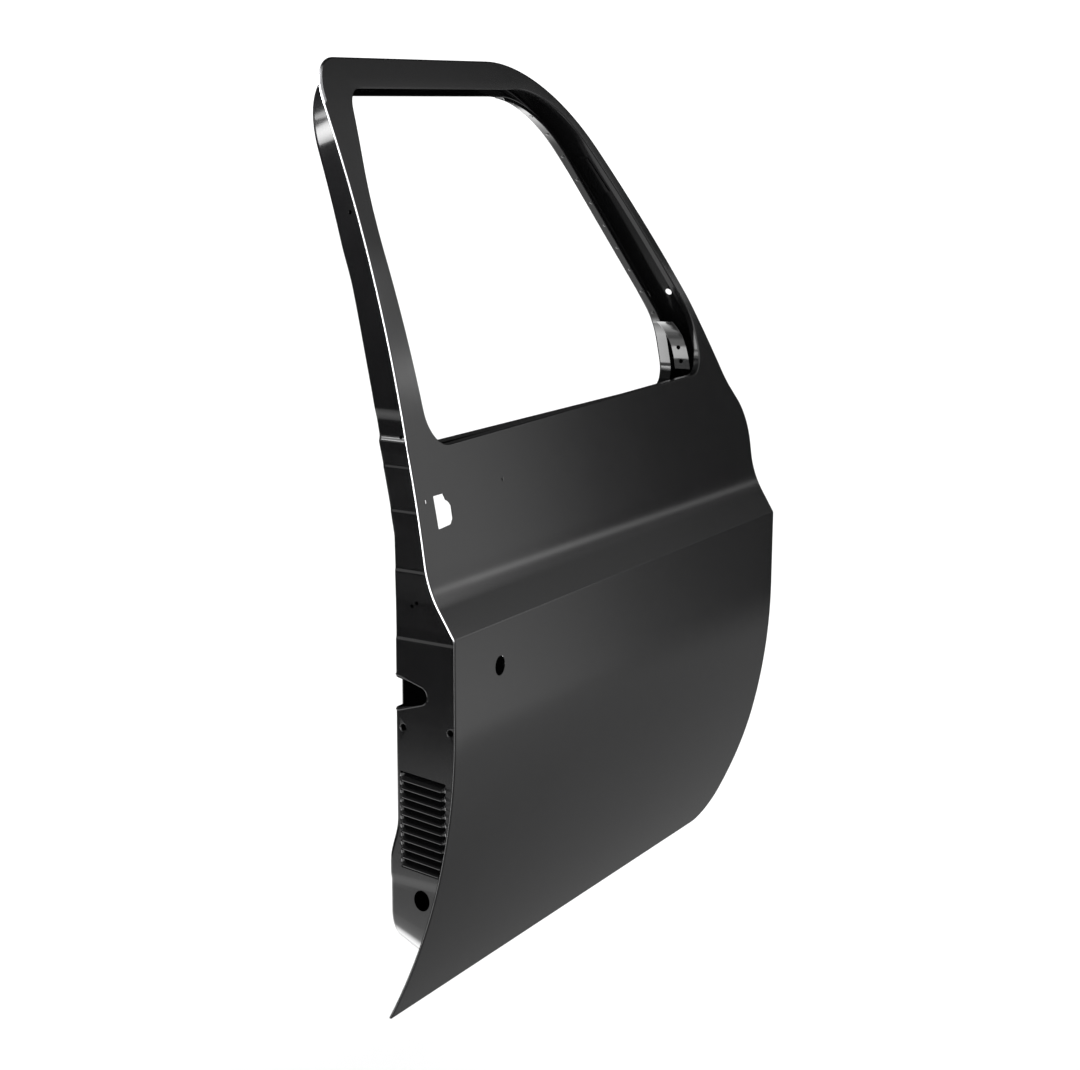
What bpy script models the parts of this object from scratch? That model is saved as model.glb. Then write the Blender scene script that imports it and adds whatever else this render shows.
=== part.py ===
"""Right-hand front door shell of a full-size pickup, in bare stamped steel with a black primer.

Metres, +Z up. While it is drawn, x runs forward from the rear edge, y runs inward from the
outer crease, and z runs up from the crease. An empty then puts the upper hinge seat at the origin.
"""

import math

import bmesh
import bpy
import numpy as np
from mathutils import Vector

# Side view of the outer panel
DOOR_LENGTH = 1.090
CREASE_HEIGHT = 0.529
BELT_RISE = 0.240
FRAME_RISE = 0.493
REAR_LEAN = 0.025
TOE_SETBACK = 0.050
TOE_HEIGHT = 0.129
TOE_TUCK = 0.017
SHOULDER_HEIGHT = 0.159
SHOULDER_RUN = 0.066
PILLAR_KNEE_SETBACK = 0.151
PILLAR_KNEE_HEIGHT = 0.362
PILLAR_TOP_SETBACK = 0.433
DOOR_REACHES = (0.003, 0.050, 0.060, 0.045, 0.020, 0.020, 0.160, 0.060, 0.030)
DOOR_STEPS = (3, 6, 3, 6, 3, 2, 10, 7, 2)
SMALLEST_REACH = 0.0008
CORNER_SHARE = 0.47

# Upright section of the outer panel
TUCK_START = 0.120
TUCK_RADIUS = 0.870
CREASE_RADIUS = 0.006
COVE_RISE = 0.036
COVE_ANGLE = math.radians(31.0)
COVE_RADIUS = 0.155
TUMBLE_START = math.radians(7.6)
TUMBLE_RADIUS = 2.350

# Sheet, seams and clearances
SKIN_GAUGE = 0.0010
PANEL_GAUGE = 0.0010
PLATE_GAUGE = 0.0015
SEAM_GAP = 0.0004
HEM_RETURN = 0.009
HEM_NOSE = 0.0012
FLANGE_EDGE_GAP = 0.0014
REGIONS = ("drawn", "skin", "flange", "wall", "turn", "face")

# Window opening
REAR_STILE_FOOT = 0.058
REAR_STILE_HEAD = 0.036
REAR_STILE_KNEE = 0.305
WINDOW_CORNER_SHIFT = 0.043
WINDOW_CORNER_SETBACK = 0.154
SILL_RISE_REAR = -0.005
SILL_RISE_FRONT = 0.006
HEADER_FACE = 0.040
PILLAR_FACE = 0.020
LIP_DEPTH = 0.010
WINDOW_REACHES = (0.050, 0.045, 0.026, 0.107, 0.028, 0.060)
WINDOW_STEPS = (6, 6, 3, 8, 4, 4)

# Inner panel
INNER_DEPTH = 0.112
BELT_DEPTH = 0.066
HEAD_DEPTH = 0.046
FOOT_BULGE = 0.008
FOOT_BULGE_RISE = 0.267
FOOT_BULGE_RUN = 0.038
TOE_CLEARANCE = 0.034
BOTTOM_FLANGE = TOE_HEIGHT - TOE_CLEARANCE
BOTTOM_DRAFT = 0.030
REAR_FLANGE = 0.018
FRAME_FLANGE = 0.012
HINGE_FLANGE = 0.030
JAMB_DRAFT = math.tan(math.radians(9.0))
JAMB_EDGE_RADIUS = 0.008
RETURN_DEPTH = 0.020
INNER_SILL_DROP = 0.012
INNER_REVEAL = 0.021
INNER_HEAD_REVEAL = 0.010
INNER_WINDOW_REACHES = (0.045, 0.036, 0.030, 0.100, 0.024, 0.060)
JOGGLE_DEPTH = 0.005
JOGGLE_RUN = 0.004
JOGGLE_RIM = 0.009
TRAY_STEPS = (7, 6, 4, 6, 3, 2, 10, 7, 2)
FOOT_INSETS = (0.014, 0.016, 0.013)
FOOT_REACHES = (0.060, 0.022, 0.014, 0.030, 0.018, 0.020, 0.150, 0.045, 0.030)
BROW_INSETS = (0.020, 0.024, 0.021)
BROW_REACHES = (0.048, 0.018, 0.012, 0.026, 0.018, 0.020, 0.140, 0.040, 0.030)
FRAME_DRAFT = 0.006
ROW_MARGIN = 0.002
JAMB_FADE_START = 0.080
JAMB_FADE_END = 0.160

# Openings in the cabin-side face: sides that follow the door's length and its foot
LATCH_ACCESS = ((0.098, 0.052), (0.182, 0.052), (0.182, 0.166), (0.098, 0.166))
REAR_ACCESS = (0.192, 0.318)
REAR_ACCESS_RISE = 0.199
REAR_ACCESS_TOP = -0.165
MAIN_ACCESS_REAR = 0.402
MAIN_ACCESS_SETBACKS = (0.330, 0.272)
MAIN_ACCESS_RISE = 0.211
MAIN_ACCESS_TOP = -0.020
SPEAKER_SETBACKS = (0.235, 0.200, 0.075)
SPEAKER_RISE = 0.229
SPEAKER_TOP = -0.130
UPPER_ACCESS_SETBACKS = (0.300, 0.150, 0.130)
UPPER_ACCESS_HEIGHTS = (0.060, 0.150)
ACCESS_REACHES = (0.022, 0.030, 0.048, 0.034, 0.024)
SMALLEST_ACCESS_REACH = 0.004

# Small holes and weld nuts in the cabin-side face
CLIP_RADIUS = 0.0048
CLIP_RISE = 0.157
CRANK_HOLE = (0.095, 0.0150)
HANDLE_ROD_HOLE = (0.300, 0.118, 0.0130)
NUT_BORE = 0.0035
NUT_RADIUS = 0.0075
NUT_HEIGHT = 0.006
REGULATOR_SPACING = 0.170
REGULATOR_HEIGHTS = (0.045, 0.105)
ARMREST_NUTS = ((0.340, 0.020), (0.338, -0.220))
DRAIN_SETBACK = 0.250
DRAIN_HALF_LENGTH = 0.014
DRAIN_DEPTHS = (0.078, 0.090)
DRAIN_REACH_DOWN = 0.020
DRAIN_REACH_UP = 0.050

# Rear jamb: height and set-in of the steps that clear the body pillar
JAMB_STEPS = (
    (-0.020, 0.0),
    (-0.008, 0.0012),
    (0.070, 0.0012),
    (0.080, 0.0026),
    (0.150, 0.0026),
    (0.158, 0.0036),
    (0.208, 0.0036),
    (0.216, 0.0044),
    (0.246, 0.0044),
    (0.254, 0.0085),
    (0.282, 0.0085),
    (0.292, 0.0070),
    (0.466, 0.0070),
    (0.480, 0.0040),
    (0.560, 0.0030),
)

# Louvre bank in the rear jamb
LOUVRE_FOOT_RISE = 0.196
LOUVRE_MARGIN = 0.003
LOUVRE_PITCH = 0.0118
LOUVRE_TOP = -0.195
LOUVRE_OUTER = 0.034
LOUVRE_WIDTH = 0.067
LOUVRE_TILT = math.tan(math.radians(5.0))
LOUVRE_SLOT = 0.0034
LOUVRE_TWIST_IN = 0.0034
LOUVRE_TWIST_OUT = 0.0030
LOUVRE_END = 0.006

# Latch corner
LATCH_TOP = -0.064
LATCH_FOOT = -0.111
LATCH_NOSE_DEPTH = 0.057
LATCH_NOSE_RADIUS = 0.013
LATCH_NOSE_HEIGHT = -0.087
LATCH_WRAP = 0.018
LATCH_SCREWS = ((0.020, -0.130), (0.098, -0.134))
LATCH_SCREW_RADIUS = 0.0045
LATCH_CLEARANCE = 0.003
LATCH_PLATE = (0.014, 0.101, -0.150, -0.030)
JAMB_SMALL_HOLES = (
    (0.169, 0.537, 0.0028),
    (0.095, 0.252, 0.0026),
    (0.093, 0.266, 0.0036),
    (0.074, 0.036, 0.0026),
    (0.082, 0.031, 0.0026),
)
PILLAR_HOLE = (0.117, 0.376, 0.0050)
PILLAR_HOLE_SETBACKS = (0.205, 0.155)
PLUG_RISE = 0.161
PLUG_STRETCH = 1.1
PLUG_DEPTH = 0.071
PLUG_RADIUS = 0.0130

# Hinge stations
HINGE_HEIGHTS = (0.055, 0.259 - CREASE_HEIGHT)
HINGE_CENTRE_DEPTH = 0.070
HINGE_BOLTS = ((-0.013, 0.032), (-0.013, -0.032), (0.015, 0.0))
HINGE_BOLT_RADIUS = 0.0055
HINGE_THREAD_RADIUS = 0.0042
HINGE_PLATE_TOP = 0.066
HINGE_PLATE_OUTER = 0.050
HINGE_PLATE_TURN = 0.101
HINGE_PLATE_REACH = 0.030
HINGE_PLATE_BEND = 0.0094
TAPPING_PLATE_WIDTH = 0.040
TAPPING_PLATE_HEIGHT = 0.094
TAPPING_PLATE_GAUGE = 0.007
CAGE_GAUGE = 0.0008
CAGE_SLACK = 0.0007
CAGE_FLANGE = 0.012
CAGE_WIDTH = 0.034

# Reinforcements behind the outer panel
BELT_REAR = 0.110
BELT_FRONT_SETBACK = 0.185
OUTER_BELT_RISE = ((0.182, 0.0), (0.190, 0.0), (0.195, 0.010), (0.214, 0.010), (0.219, 0.0), (0.229, 0.0))
INNER_BELT_RISE = ((0.176, 0.0), (0.186, 0.0), (0.191, 0.012), (0.202, 0.012), (0.207, 0.0), (0.216, 0.0))
INNER_BELT_STRETCH = 1.05
HANDLE_PLATE = ((0.032, 0.122), (0.246, 0.122), (0.246, 0.179), (0.032, 0.179))
HANDLE_PLATE_MARGIN = 0.003
MIRROR_PLATE_SETBACKS = ((0.160, 0.072), (0.052, 0.072), (0.052, 0.138), (0.084, 0.182), (0.160, 0.182))
MIRROR_SCREWS = ((0.135, 0.095), (0.068, 0.095), (0.120, 0.160))

# Brackets on the inner panel for the glass runs
CHANNEL_WIDTH = 0.018
CHANNEL_REACH = 0.034
CHANNEL_HALF_HEIGHT = 0.016
REAR_CHANNEL_X = 0.058
REAR_CHANNEL_RISE = 0.297
FRONT_CHANNEL_SETBACK = 0.254
FRONT_CHANNEL_Z = -0.045

# Pieces in the window frame
LINER_REAR_SETBACK = 0.530
LINER_FOOT = 0.325
LINER_NEAR = 0.004
LINER_FAR = 0.018
LINER_TURN = 0.004
GUSSET_LINE = (
    (0.206, 0.330),
    (0.198, 0.325),
    (0.186, 0.315),
    (0.176, 0.303),
    (0.170, 0.288),
    (0.1685, 0.270),
    (0.171, 0.252),
)
GUSSET_HOLES = (0.264, 0.286)
GUSSET_NEAR = 0.014
GUSSET_FAR = 0.041
GUSSET_TURN = 0.009
BRACKET_LOW = 0.538
BRACKET_HIGH = 0.590
BRACKET_DEPTHS = (0.016, 0.036)
BRACKET_INSETS = (0.0172, 0.0203)

# Handle, lock and screw holes in the outer panel
HANDLE_CORNERS = (
    (0.044, 0.133),
    (0.077, 0.135),
    (0.084, 0.142),
    (0.084, 0.158),
    (0.079, 0.164),
    (0.071, 0.168),
    (0.068, 0.177),
    (0.042, 0.178),
)
LOCK_CENTRE = (0.121, -0.058)
LOCK_RADIUS = 0.0135
HANDLE_SCREWS = ((0.021, 0.172), (0.229, 0.173))
HANDLE_SCREW_RADIUS = 0.0033


def corner_arc(before, corner, after, reach, steps):
    """Points of the arc that rounds a corner, reaching the same length back along both sides."""
    towards = (before - corner).normalized()
    away = (after - corner).normalized()
    half = towards.angle(away) / 2
    turn = math.pi - 2 * half
    start = corner + towards * reach
    end = corner + away * reach
    if turn < 1e-4:
        return [start.lerp(end, i / steps) for i in range(steps + 1)]
    centre = corner + (towards + away).normalized() * (reach / math.cos(half))
    a = start - centre
    b = end - centre
    return [
        centre + (a * math.sin(turn * (1 - i / steps)) + b * math.sin(turn * i / steps)) / math.sin(turn)
        for i in range(steps + 1)
    ]


def rounded(corners, reaches, steps):
    """One arc of points for each corner of a closed outline, each reach held to its share of the sides."""
    arcs = []
    for i, corner in enumerate(corners):
        before = corners[i - 1]
        after = corners[(i + 1) % len(corners)]
        room = CORNER_SHARE * min((corner - before).length, (after - corner).length)
        arcs.append(corner_arc(before, corner, after, min(reaches[i], room), steps[i]))
    return arcs


def matched_outlines(arc_sets, rows):
    """Closed outlines with the same number of points, with a point at each row height on upright sides."""
    count = len(arc_sets[0])
    loops = [[] for _ in arc_sets]
    for i in range(count):
        sides = [(arcs[i][-1], arcs[(i + 1) % count][0]) for arcs in arc_sets]
        low = max(min(a.y, b.y) for a, b in sides) + ROW_MARGIN
        high = min(max(a.y, b.y) for a, b in sides) - ROW_MARGIN
        heights = [z for z in rows if low < z < high]
        if sides[0][0].y > sides[0][1].y:
            heights.reverse()
        for loop, arcs, (a, b) in zip(loops, arc_sets, sides):
            loop.extend(arcs[i])
            loop.extend(a.lerp(b, (z - a.y) / (b.y - a.y)) for z in heights)
    return loops


def side_lines(corners, distances):
    """The sides of an outline as (point, direction), moved inward by a distance each."""
    lines = []
    for i, distance in enumerate(distances):
        a = corners[i]
        along = (corners[(i + 1) % len(corners)] - a).normalized()
        lines.append((a + Vector((-along.y, along.x)) * distance, along))
    return lines


def line_corners(lines):
    """The corners where each line meets the one before it."""
    corners = []
    for i, (p, u) in enumerate(lines):
        q, v = lines[i - 1]
        cross = v.x * u.y - v.y * u.x
        gap = p - q
        corners.append(q + v * ((gap.x * u.y - gap.y * u.x) / cross))
    return corners


def circle(x, z, radius, points=12):
    """A round hole's outline."""
    return [
        Vector((x + radius * math.cos(a), z + radius * math.sin(a)))
        for a in (2 * math.pi * i / points for i in range(points))
    ]


def skin_section():
    """Height, depth and slant factor at each row of the outer face, from bottom edge to top."""
    tuck_steps, cove_steps, tumble_steps = 9, 4, 8
    drop = CREASE_HEIGHT - TUCK_START
    rows = []
    for i in range(tuck_steps + 1):
        below = drop * (1 - i / tuck_steps)
        rows.append((-TUCK_START - below, TUCK_RADIUS - math.sqrt(TUCK_RADIUS**2 - below**2)))
    nose = CREASE_RADIUS * math.tan(COVE_ANGLE / 2)
    rows.append((-nose, 0.0))
    rows.append((nose * math.cos(COVE_ANGLE), nose * math.sin(COVE_ANGLE)))
    z, y = COVE_RISE, COVE_RISE * math.tan(COVE_ANGLE)
    rows.append((z, y))
    for i in range(1, cove_steps + 1):
        slant = COVE_ANGLE + (TUMBLE_START - COVE_ANGLE) * i / cove_steps
        rows.append((
            z + COVE_RADIUS * (math.sin(COVE_ANGLE) - math.sin(slant)),
            y + COVE_RADIUS * (math.cos(slant) - math.cos(COVE_ANGLE)),
        ))
    z, y = rows[-1]
    rise = BELT_RISE + FRAME_RISE - z
    for i in range(1, tumble_steps + 1):
        slant = math.asin(math.sin(TUMBLE_START) + rise * i / tumble_steps / TUMBLE_RADIUS)
        run = TUMBLE_RADIUS * (math.cos(TUMBLE_START) - math.cos(slant))
        rows.append((z + rise * i / tumble_steps, y + run))
    rows = np.array(rows)
    rise, run = np.diff(rows[:, 0]), np.diff(rows[:, 1])
    slants = np.hypot(rise, run) / rise
    factors = (np.append(slants[0], slants) + np.append(slants, slants[-1])) / 2
    return rows[:, 0], rows[:, 1], factors


TOP = BELT_RISE + FRAME_RISE
BOTTOM = -CREASE_HEIGHT
FOOT_BULGE_TOP = BOTTOM + FOOT_BULGE_RISE
SKIN_Z, SKIN_Y, SKIN_SLANT = skin_section()
HINGE_X = DOOR_LENGTH - HINGE_FLANGE
FLANGE_FACE = SKIN_GAUGE + SEAM_GAP + PANEL_GAUGE
HEM_FACE = FLANGE_FACE + SEAM_GAP + SKIN_GAUGE


def skin_y(z):
    """Depth of the outer face at a height."""
    return float(np.interp(z, SKIN_Z, SKIN_Y))


def behind(z, depth):
    """Depth of a face that lies so far behind the outer face, square to it."""
    return skin_y(z) + depth * float(np.interp(z, SKIN_Z, SKIN_SLANT))


def inner_depth(z):
    """Depth of the cabin-side face: upright in the body, then a slimming frame beside the glass."""
    if z < 0.0:
        bulge = min(max((FOOT_BULGE_TOP - z) / FOOT_BULGE_RUN, 0.0), 1.0)
        return INNER_DEPTH + FOOT_BULGE * bulge
    share = max((z - BELT_RISE) / FRAME_RISE, 0.0)
    return max(INNER_DEPTH, skin_y(z) + BELT_DEPTH + (HEAD_DEPTH - BELT_DEPTH) * share)


def inner_rows():
    """Row heights of the cabin-side face, with one where the frame leaves the upright plane."""
    low, high = 0.0, BELT_RISE
    for _ in range(40):
        middle = (low + high) / 2
        if inner_depth(middle) > INNER_DEPTH:
            high = middle
        else:
            low = middle
    rows = [FOOT_BULGE_TOP - FOOT_BULGE_RUN, FOOT_BULGE_TOP, low]
    rows += [z for z in SKIN_Z if low + ROW_MARGIN < z < TOP]
    return rows


INNER_Z = np.array([-CREASE_HEIGHT, *inner_rows(), TOP])
INNER_Y = np.array([inner_depth(z) for z in INNER_Z])


def inner_y(z):
    """Depth of the faceted cabin-side face."""
    return float(np.interp(z, INNER_Z, INNER_Y))


def jamb_set_in(z):
    """How far forward the steps put the rear jamb."""
    heights, amounts = zip(*JAMB_STEPS)
    return float(np.interp(z, heights, amounts))


def jamb_shift(x, z, y):
    """Forward shift of a rear jamb point, from its draft and steps, fading out away from the jamb."""
    near = min(max((JAMB_FADE_END - x) / (JAMB_FADE_END - JAMB_FADE_START), 0.0), 1.0)
    start = skin_y(z) * min(max(z / BELT_RISE, 0.0), 1.0)
    return near * (JAMB_DRAFT * (y - start) + jamb_set_in(z))


def door_corners():
    """Side-view corners of the outer panel, from the bottom rear, forward and round."""
    front = DOOR_LENGTH
    return [
        Vector((0.0, -CREASE_HEIGHT)),
        Vector((front - TOE_SETBACK, -CREASE_HEIGHT)),
        Vector((front - TOE_TUCK, TOE_HEIGHT - CREASE_HEIGHT)),
        Vector((front, SHOULDER_HEIGHT)),
        Vector((front - SHOULDER_RUN, SHOULDER_HEIGHT + SHOULDER_RUN)),
        Vector((front - PILLAR_KNEE_SETBACK, PILLAR_KNEE_HEIGHT)),
        Vector((front - PILLAR_TOP_SETBACK, TOP)),
        Vector((REAR_LEAN, TOP)),
        Vector((0.0, BELT_RISE)),
    ]


def parallel_reaches(corners, reaches, inset):
    """Corner reaches that keep the arcs of a parallel outline concentric."""
    kept = []
    for i, reach in enumerate(reaches):
        before = corners[i] - corners[i - 1]
        after = corners[(i + 1) % len(corners)] - corners[i]
        turn = before.angle_signed(after)
        kept.append(max(reach + inset * math.tan(turn / 2), SMALLEST_REACH))
    return kept


def door_ring(inset):
    """Arcs of an outline parallel to the door's edge."""
    corners = door_corners()
    reaches = parallel_reaches(corners, DOOR_REACHES, inset)
    return rounded(line_corners(side_lines(corners, [inset] * 9)), reaches, DOOR_STEPS)


def tray_ring(bottom, toe, shoulder, pillar, header, reaches):
    """Arcs of an outline round the inner panel's tray, upright at the hinge face."""
    corners = door_corners()
    distances = [bottom, toe, 0.0, shoulder, pillar, pillar, header, FRAME_FLANGE, REAR_FLANGE]
    lines = side_lines(corners, distances)
    lines[2] = (Vector((HINGE_X, 0.0)), Vector((0.0, 1.0)))
    return rounded(line_corners(lines), reaches, TRAY_STEPS)


def window_lines():
    """The sides of the opening in the outer panel, from the sill, forward and round."""
    corners = door_corners()
    door = side_lines(corners, [0.0] * 5 + [PILLAR_FACE, HEADER_FACE, 0.0, 0.0])
    knee = Vector((REAR_LEAN * REAR_STILE_KNEE / FRAME_RISE + REAR_STILE_HEAD, BELT_RISE + REAR_STILE_KNEE))
    foot = Vector((REAR_STILE_FOOT, BELT_RISE + SILL_RISE_REAR))
    front = Vector((DOOR_LENGTH - WINDOW_CORNER_SETBACK, BELT_RISE + SILL_RISE_FRONT))
    head = Vector((knee.x + WINDOW_CORNER_SHIFT, TOP - HEADER_FACE))
    return [
        (foot, (front - foot).normalized()),
        (front, Vector((0.0, 1.0))),
        door[5],
        door[6],
        (head, (knee - head).normalized()),
        (knee, (foot - knee).normalized()),
    ]


def moved(line, distance):
    """A line moved to its left."""
    point, along = line
    return point + Vector((-along.y, along.x)) * distance, along


def window_ring():
    """Arcs of the opening in the outer panel."""
    corners = line_corners(window_lines())
    return rounded(corners, WINDOW_REACHES, WINDOW_STEPS)


def inner_window_ring():
    """Arcs of the opening in the inner panel, which shows inside the outer one."""
    lines = window_lines()
    reveals = (0.0, INNER_REVEAL, INNER_REVEAL, INNER_HEAD_REVEAL, INNER_REVEAL, INNER_REVEAL)
    lines = [moved(line, reveal) for line, reveal in zip(lines, reveals)]
    lines[0] = (Vector((0.0, BELT_RISE - INNER_SILL_DROP)), Vector((1.0, 0.0)))
    corners = line_corners(lines)
    return rounded(corners, INNER_WINDOW_REACHES, WINDOW_STEPS)


def new_sheet():
    """An empty bmesh whose faces can carry a region number."""
    bm = bmesh.new()
    bm.faces.layers.int.new("region")
    return bm


def add_loop(bm, points):
    """A closed chain of edges in the plane y = 0."""
    verts = [bm.verts.new((p.x, 0.0, p.y)) for p in points]
    edges = [bm.edges.new((verts[i - 1], verts[i])) for i in range(len(verts))]
    return verts, edges


def fill(bm, edges, region):
    """Fills the flat area between chains of edges, and marks its faces with a region number."""
    layer = bm.faces.layers.int.get("region")
    made = bmesh.ops.triangle_fill(bm, use_beauty=True, use_dissolve=False, edges=edges)["geom"]
    for item in made:
        if isinstance(item, bmesh.types.BMFace):
            item[layer] = REGIONS.index(region)


def in_region(bm, region):
    """The faces that carry a region number."""
    layer = bm.faces.layers.int.get("region")
    return [f for f in bm.faces if f[layer] == REGIONS.index(region)]


def cut_rows(bm, region, heights):
    """Cuts a region along level lines, so that it can follow the section's rows."""
    for z in heights:
        faces = in_region(bm, region)
        edges = {e for f in faces for e in f.edges}
        verts = {v for f in faces for v in f.verts}
        bmesh.ops.bisect_plane(
            bm, geom=[*verts, *edges, *faces], dist=1e-6, plane_co=(0, 0, z), plane_no=(0, 0, 1)
        )


def merge_strips(bm, region):
    """Joins the triangles of each strip between level cuts into larger faces."""
    layer = bm.faces.layers.int.get("region")
    slanted = [e for e in bm.edges if abs(e.verts[0].co.z - e.verts[1].co.z) > 1e-5]
    number = REGIONS.index(region)
    edges = [e for e in slanted if len(e.link_faces) == 2 and all(f[layer] == number for f in e.link_faces)]
    bmesh.ops.dissolve_limit(bm, angle_limit=1e-4, verts=[], edges=edges)


def place(bm, region, depth):
    """Gives a region's points their depth."""
    for v in {v for f in in_region(bm, region) for v in f.verts}:
        v.co.y = depth(v.co.z)


def locate(loop, x, z):
    """Distance to an outline, and the place of the nearest point on it."""
    a = np.array([(p.x, p.y) for p in loop])
    b = np.roll(a, -1, axis=0)
    along = b - a
    share = ((np.array((x, z)) - a) * along).sum(1) / (along**2).sum(1)
    share = np.clip(share, 0.0, 1.0)
    gaps = np.hypot(*(a + along * share[:, None] - (x, z)).T)
    i = int(np.argmin(gaps))
    return float(gaps[i]), i, float(share[i])


def rim(bm, loop):
    """The open edges that lie along an outline."""
    found = []
    for e in bm.edges:
        if e.is_boundary and all(locate(loop, v.co.x, v.co.z)[0] < 1e-5 for v in e.verts):
            found.append(e)
    return found


def face_region(bm, region, side):
    """Points all faces of an open sheet the same way, a region's faces to the given side along y."""
    bmesh.ops.recalc_face_normals(bm, faces=bm.faces[:])
    if side * sum(f.normal.y * f.calc_area() for f in in_region(bm, region)) < 0:
        bmesh.ops.reverse_faces(bm, faces=bm.faces[:])


def draw_rim(bm, edges, here, there, depth):
    """Extrudes open edges from one outline to its place on another, and returns the new open edges."""
    made = bmesh.ops.extrude_edge_only(bm, edges=edges)["geom"]
    for v in (item for item in made if isinstance(item, bmesh.types.BMVert)):
        _, i, share = locate(here, v.co.x, v.co.z)
        p = there[i].lerp(there[(i + 1) % len(there)], share)
        y = depth(p.y, v.co.y)
        v.co = (p.x, y, p.y)
    return [item for item in made if isinstance(item, bmesh.types.BMEdge) and item.is_boundary]


def face_out(bm, direction):
    """Points all faces of an open sheet the same way, its broad faces along a direction."""
    bmesh.ops.recalc_face_normals(bm, faces=bm.faces[:])
    if sum(f.normal.dot(Vector(direction)) * f.calc_area() for f in bm.faces) < 0:
        bmesh.ops.reverse_faces(bm, faces=bm.faces[:])


def material(name, colour, roughness, metallic):
    """A Principled material."""
    made = bpy.data.materials.new(name)
    made.use_nodes = True
    shader = made.node_tree.nodes["Principled BSDF"]
    shader.inputs["Base Color"].default_value = (*colour, 1.0)
    shader.inputs["Roughness"].default_value = roughness
    shader.inputs["Metallic"].default_value = metallic
    return made


def add_object(name, bm, finish, collection=None):
    """Turns a bmesh into a named object under the door's frame."""
    mesh = bpy.data.meshes.new(name)
    bm.normal_update()
    bm.to_mesh(mesh)
    bm.free()
    made = bpy.data.objects.new(name, mesh)
    (collection or SHELL).objects.link(made)
    made.parent = DOOR_FRAME
    made.data.materials.append(finish)
    mesh.shade_smooth()
    mesh.set_sharp_from_angle(angle=math.radians(30))
    return made


def thicken(made, gauge):
    """Gives an open sheet its wall, away from the side that its faces point to."""
    solid = made.modifiers.new("gauge", "SOLIDIFY")
    solid.thickness = gauge
    solid.offset = -1.0
    solid.use_even_offset = True
    return made


def sheet(name, loops, spot, gauge, finish, facing, rows=()):
    """A flat or bent patch with holes: its outline and holes are filled flat, then put in place."""
    bm = new_sheet()
    edges = [e for loop in loops for e in add_loop(bm, loop)[1]]
    fill(bm, edges, "face")
    cut_rows(bm, "face", rows)
    merge_strips(bm, "face")
    for v in bm.verts:
        v.co = spot(v.co.x, v.co.z)
    face_out(bm, facing)
    return thicken(add_object(name, bm, finish), gauge)


def strip(name, lines, gauge, finish, facing):
    """A folded strip: lines of points, one after another, joined by faces and given a wall."""
    bm = bmesh.new()
    verts = [[bm.verts.new(p) for p in line] for line in lines]
    for near, far in zip(verts, verts[1:]):
        for i in range(len(near) - 1):
            bm.faces.new((near[i], near[i + 1], far[i + 1], far[i]))
    face_out(bm, facing)
    return thicken(add_object(name, bm, finish), gauge)


def add_prism(bm, outline, spot, near, far):
    """A closed prism on an outline in a plane, between two distances from it."""
    ends = [[bm.verts.new(spot(p.x, p.y, d)) for p in outline] for d in (near, far)]
    count = len(outline)
    bm.faces.new(ends[0])
    bm.faces.new(reversed(ends[1]))
    for i in range(count):
        j = (i + 1) % count
        bm.faces.new((ends[0][j], ends[0][i], ends[1][i], ends[1][j]))


def cut(made, prisms):
    """Cuts a set of prisms, kept as one hidden cutter, out of an object."""
    bm = bmesh.new()
    for outline, spot, near, far in prisms:
        add_prism(bm, outline, spot, near, far)
    bmesh.ops.recalc_face_normals(bm, faces=bm.faces[:])
    mesh = bpy.data.meshes.new(made.name + "_cutter")
    bm.to_mesh(mesh)
    bm.free()
    cutter = bpy.data.objects.new(made.name + "_cutter", mesh)
    CUTTERS.objects.link(cutter)
    cutter.parent = DOOR_FRAME
    cutter.hide_render = True
    cutter.display_type = "WIRE"
    boolean = made.modifiers.new("holes", "BOOLEAN")
    boolean.object = cutter
    boolean.operation = "DIFFERENCE"
    boolean.solver = "EXACT"
    return made


def across(u, v, d):
    """Cutter frame through the jambs: u inward, v up, d forward."""
    return d, u, v


def box(low_u, high_u, low_v, high_v):
    """A four-cornered outline."""
    return [Vector(p) for p in ((low_u, low_v), (high_u, low_v), (high_u, high_v), (low_u, high_v))]


def outer_panel(finish):
    """The outer panel: pressed face, lip round the window, and the hem that holds the inner panel."""
    rings = [door_ring(inset) for inset in (HEM_NOSE, 0.0, HEM_RETURN)]
    nose, edge, hem = matched_outlines(rings, list(SKIN_Z))
    (window,) = matched_outlines([window_ring()], [])
    (handle,) = matched_outlines([rounded([Vector(p) for p in HANDLE_CORNERS], [0.0018] * 8, [1] * 8)], [])
    holes = [circle(*LOCK_CENTRE, LOCK_RADIUS, 20)]
    holes += [circle(x, z, HANDLE_SCREW_RADIUS, 8) for x, z in HANDLE_SCREWS]
    bm = new_sheet()
    edges = [e for loop in (nose, window, handle, *holes) for e in add_loop(bm, loop)[1]]
    fill(bm, edges, "skin")
    cut_rows(bm, "skin", SKIN_Z[1:-1])
    merge_strips(bm, "skin")
    place(bm, "skin", skin_y)
    draw_rim(bm, rim(bm, window), window, window, lambda z, y: y + LIP_DEPTH)
    fold = rim(bm, nose)
    profile = (
        (nose, edge, HEM_NOSE),
        (edge, edge, HEM_FACE - HEM_NOSE),
        (edge, nose, HEM_FACE),
        (nose, hem, HEM_FACE),
    )
    for here, there, depth in profile:
        fold = draw_rim(bm, fold, here, there, lambda z, y, depth=depth: behind(z, depth))
    face_region(bm, "skin", -1.0)
    return thicken(add_object("outer_panel", bm, finish), SKIN_GAUGE)


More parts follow.
